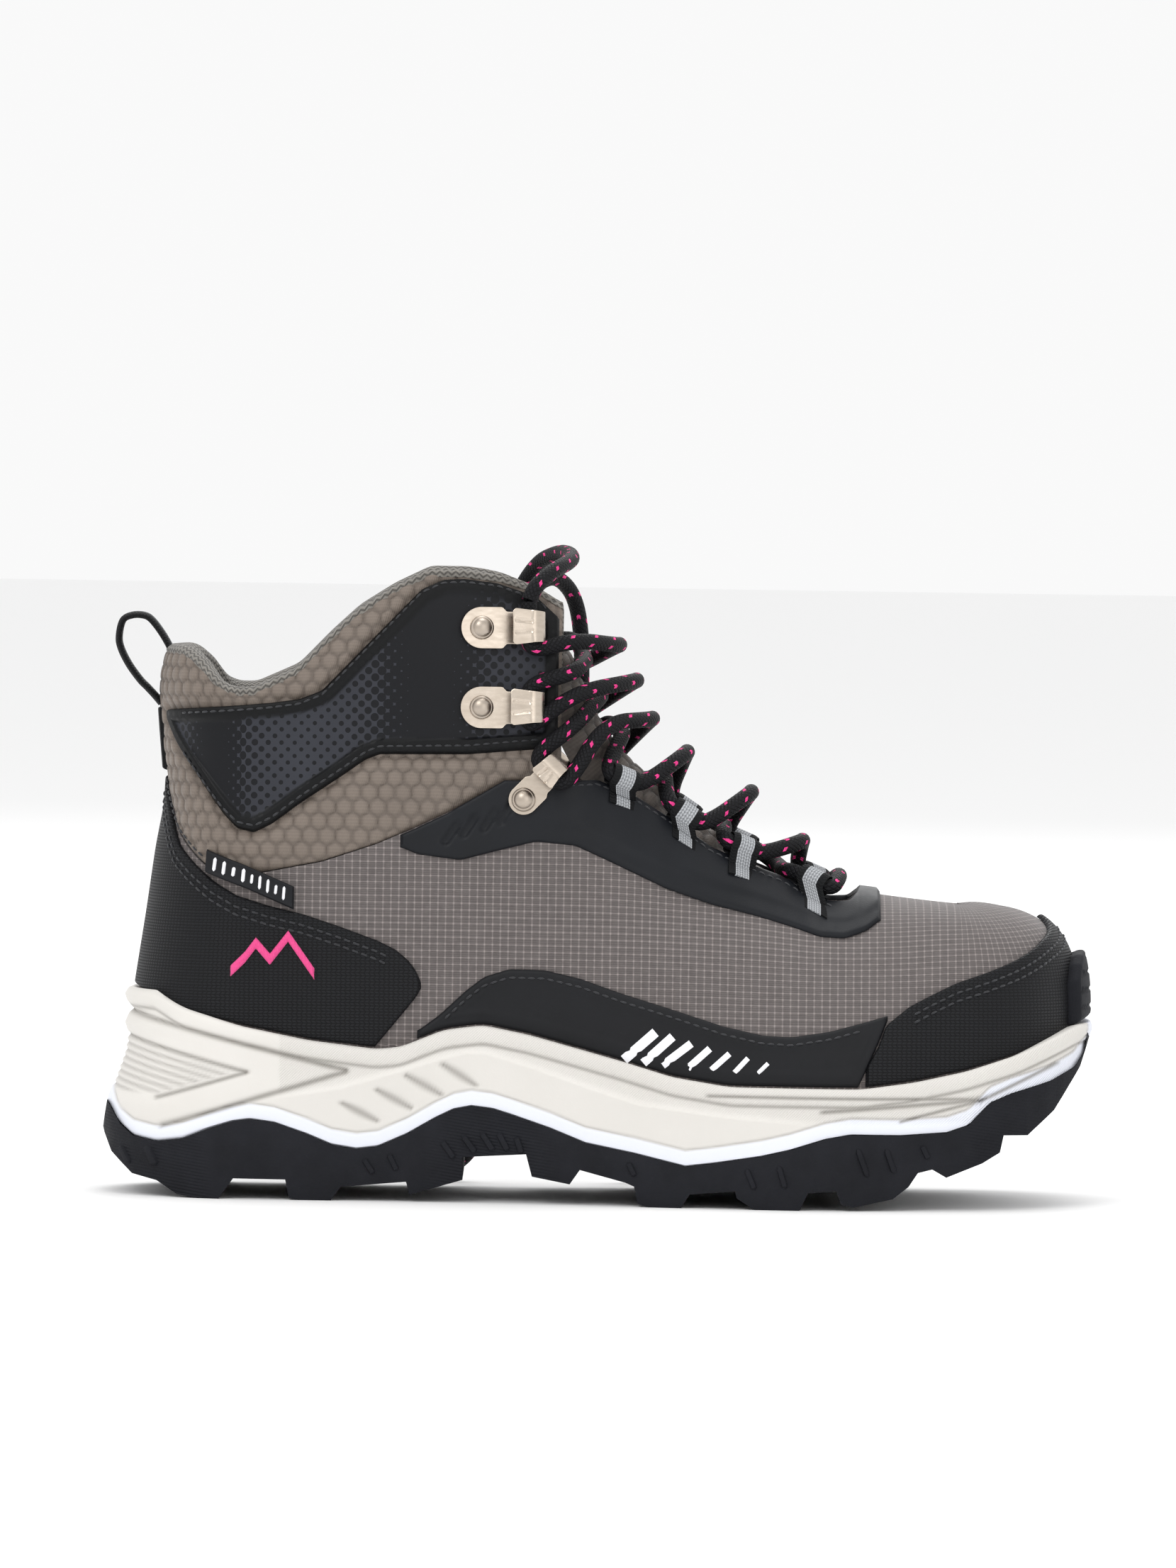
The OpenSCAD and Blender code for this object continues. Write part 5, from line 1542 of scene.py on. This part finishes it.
# %% Footbed
def footbed():
    """A loose foam insole, dished at the heel, with softened edges."""
    count, across = 150, 41
    heel_long, toe_long, inset, under, thick = 24.4, 26.9, 11.4, 2.0, 3.6
    s = np.linspace(-136, 140, count)
    w = np.linspace(-1, 1, across)
    t = fan(s)
    x = np.where(s < HEEL, HEEL - heel_long * np.sin(t), np.where(s > TOE, TOE + toe_long * np.sin(t), s))
    wide = (half_w(np.clip(s, HEEL, TOE)) - inset) * np.cos(t)
    wide = np.maximum(wide, 0.02)
    base = FLOOR(x)
    to_back = heel_long * (1 - np.sin(np.where(s < HEEL, t, 0))) + 99 * (s >= HEEL)
    far = np.minimum(wide[:, None] * (1 - np.abs(w)), to_back[:, None])
    soft = np.clip(far / 1.6, 0, 1)
    dish = 0.5 * (1 - np.clip(far / 12, 0, 1)) ** 2
    top = base[:, None] + 2.1 + thick * np.sqrt(1 - (1 - soft) ** 2) * 0.9 + dish
    low = np.repeat((base + under)[:, None], across, 1)
    y = wide[:, None] * w + centre_y(x)[:, None]
    sheets = [np.stack([np.repeat(x[:, None], across, 1), y, h], -1).reshape(-1, 3) for h in (low, top)]
    cloth = np.stack([np.repeat(x[:, None], across, 1), y], -1).reshape(-1, 2)
    piece = new_piece("insole", np.concatenate(sheets), shell_faces(count, across),
                      {"cloth": np.tile(cloth, (2, 1))})
    merge_close(piece)
    return dress(piece, "footbed_foam", body="footbed", replaces=["footbed"])


footbed()
print(made)

# %% [markdown]
# ## Stitching
# Every overlay is held by rows of thread. Each stitch is a short rounded bar that dips into the
# cloth at its ends, set at an even pitch along a row that follows the edge of its layer.

# %% Rows of stitches
def stitch_rows(name, rows, slot="black_thread", long=2.0, pitch=2.7, thick=0.3):
    points, faces, start = [], [], 0
    sides, rings = 6, 5
    ring = np.linspace(0, 2 * np.pi, sides, endpoint=False)
    swell = [(-1, 0.25, -0.5), (-0.6, 0.9, 0.1), (0, 1.0, 0.3), (0.6, 0.9, 0.1), (1, 0.25, -0.5)]
    for path, out in rows:
        far = np.concatenate([[0], np.cumsum(np.linalg.norm(np.diff(path, axis=0), axis=1))])
        for f in np.arange(pitch, far[-1] - pitch / 2, pitch):
            c = np.array([np.interp(f, far, path[:, k]) for k in range(3)])
            e = np.array([np.interp(f + 0.5, far, path[:, k]) for k in range(3)])
            n = unit(np.array([np.interp(f, far, out[:, k]) for k in range(3)]))
            t = unit(e - c)
            b = np.cross(n, t)
            for at_, size, lift in swell:
                q = c + t * at_ * long / 2 + n * lift * thick
                points.append(q + thick * size * (np.cos(ring)[:, None] * b + np.sin(ring)[:, None] * n))
            faces.extend((grid_faces(rings, sides, start, ring=True)).tolist())
            faces.append([start + k for k in range(sides)][::-1])
            faces.append([start + (rings - 1) * sides + k for k in range(sides)])
            start += rings * sides
    piece = new_piece(name, np.concatenate(points), faces)
    merge_close(piece, merge=False)
    return dress(piece, slot, smooth=60)


def seam_row(side, first, last, height, off):
    s = np.linspace(first, last, 160)
    z = height(s)
    p = on_skin(side, s, z, off)
    return p, on_skin(side, s, z, off + 1) - p


rows = []
for side in (-1, 1):
    for inset in (3.2, 5.4):
        rows.append(seam_row(side, 86, 139.5, lambda s: TOE_CAP_TOP(s) - inset, 1.5))
        rows.append(seam_row(side, -135.5, -60, lambda s: HEEL_CAP_TOP(s) - inset, 1.5))
    rows.append(seam_row(side, -12, 66, lambda s: SEAM(s) - 2.0, 2.05))
    rows.append(seam_row(side, -45, 74, lambda s: GUARD_TOP(s) - 2.4, 1.55))
    rows.append(seam_row(side, -134, -110, lambda s: np.maximum(SEAM(s), HEEL_CAP_TOP(s)) + 2.2, 1.0))
    for edge, shift in ((ANKLE_TOP, -1.7), (ANKLE_FOOT, 1.7)):
        rows.append(seam_row(side, -120, -16, lambda s: edge(s) + shift, 2.0))
stitch_rows("stitching", rows)
print(made)
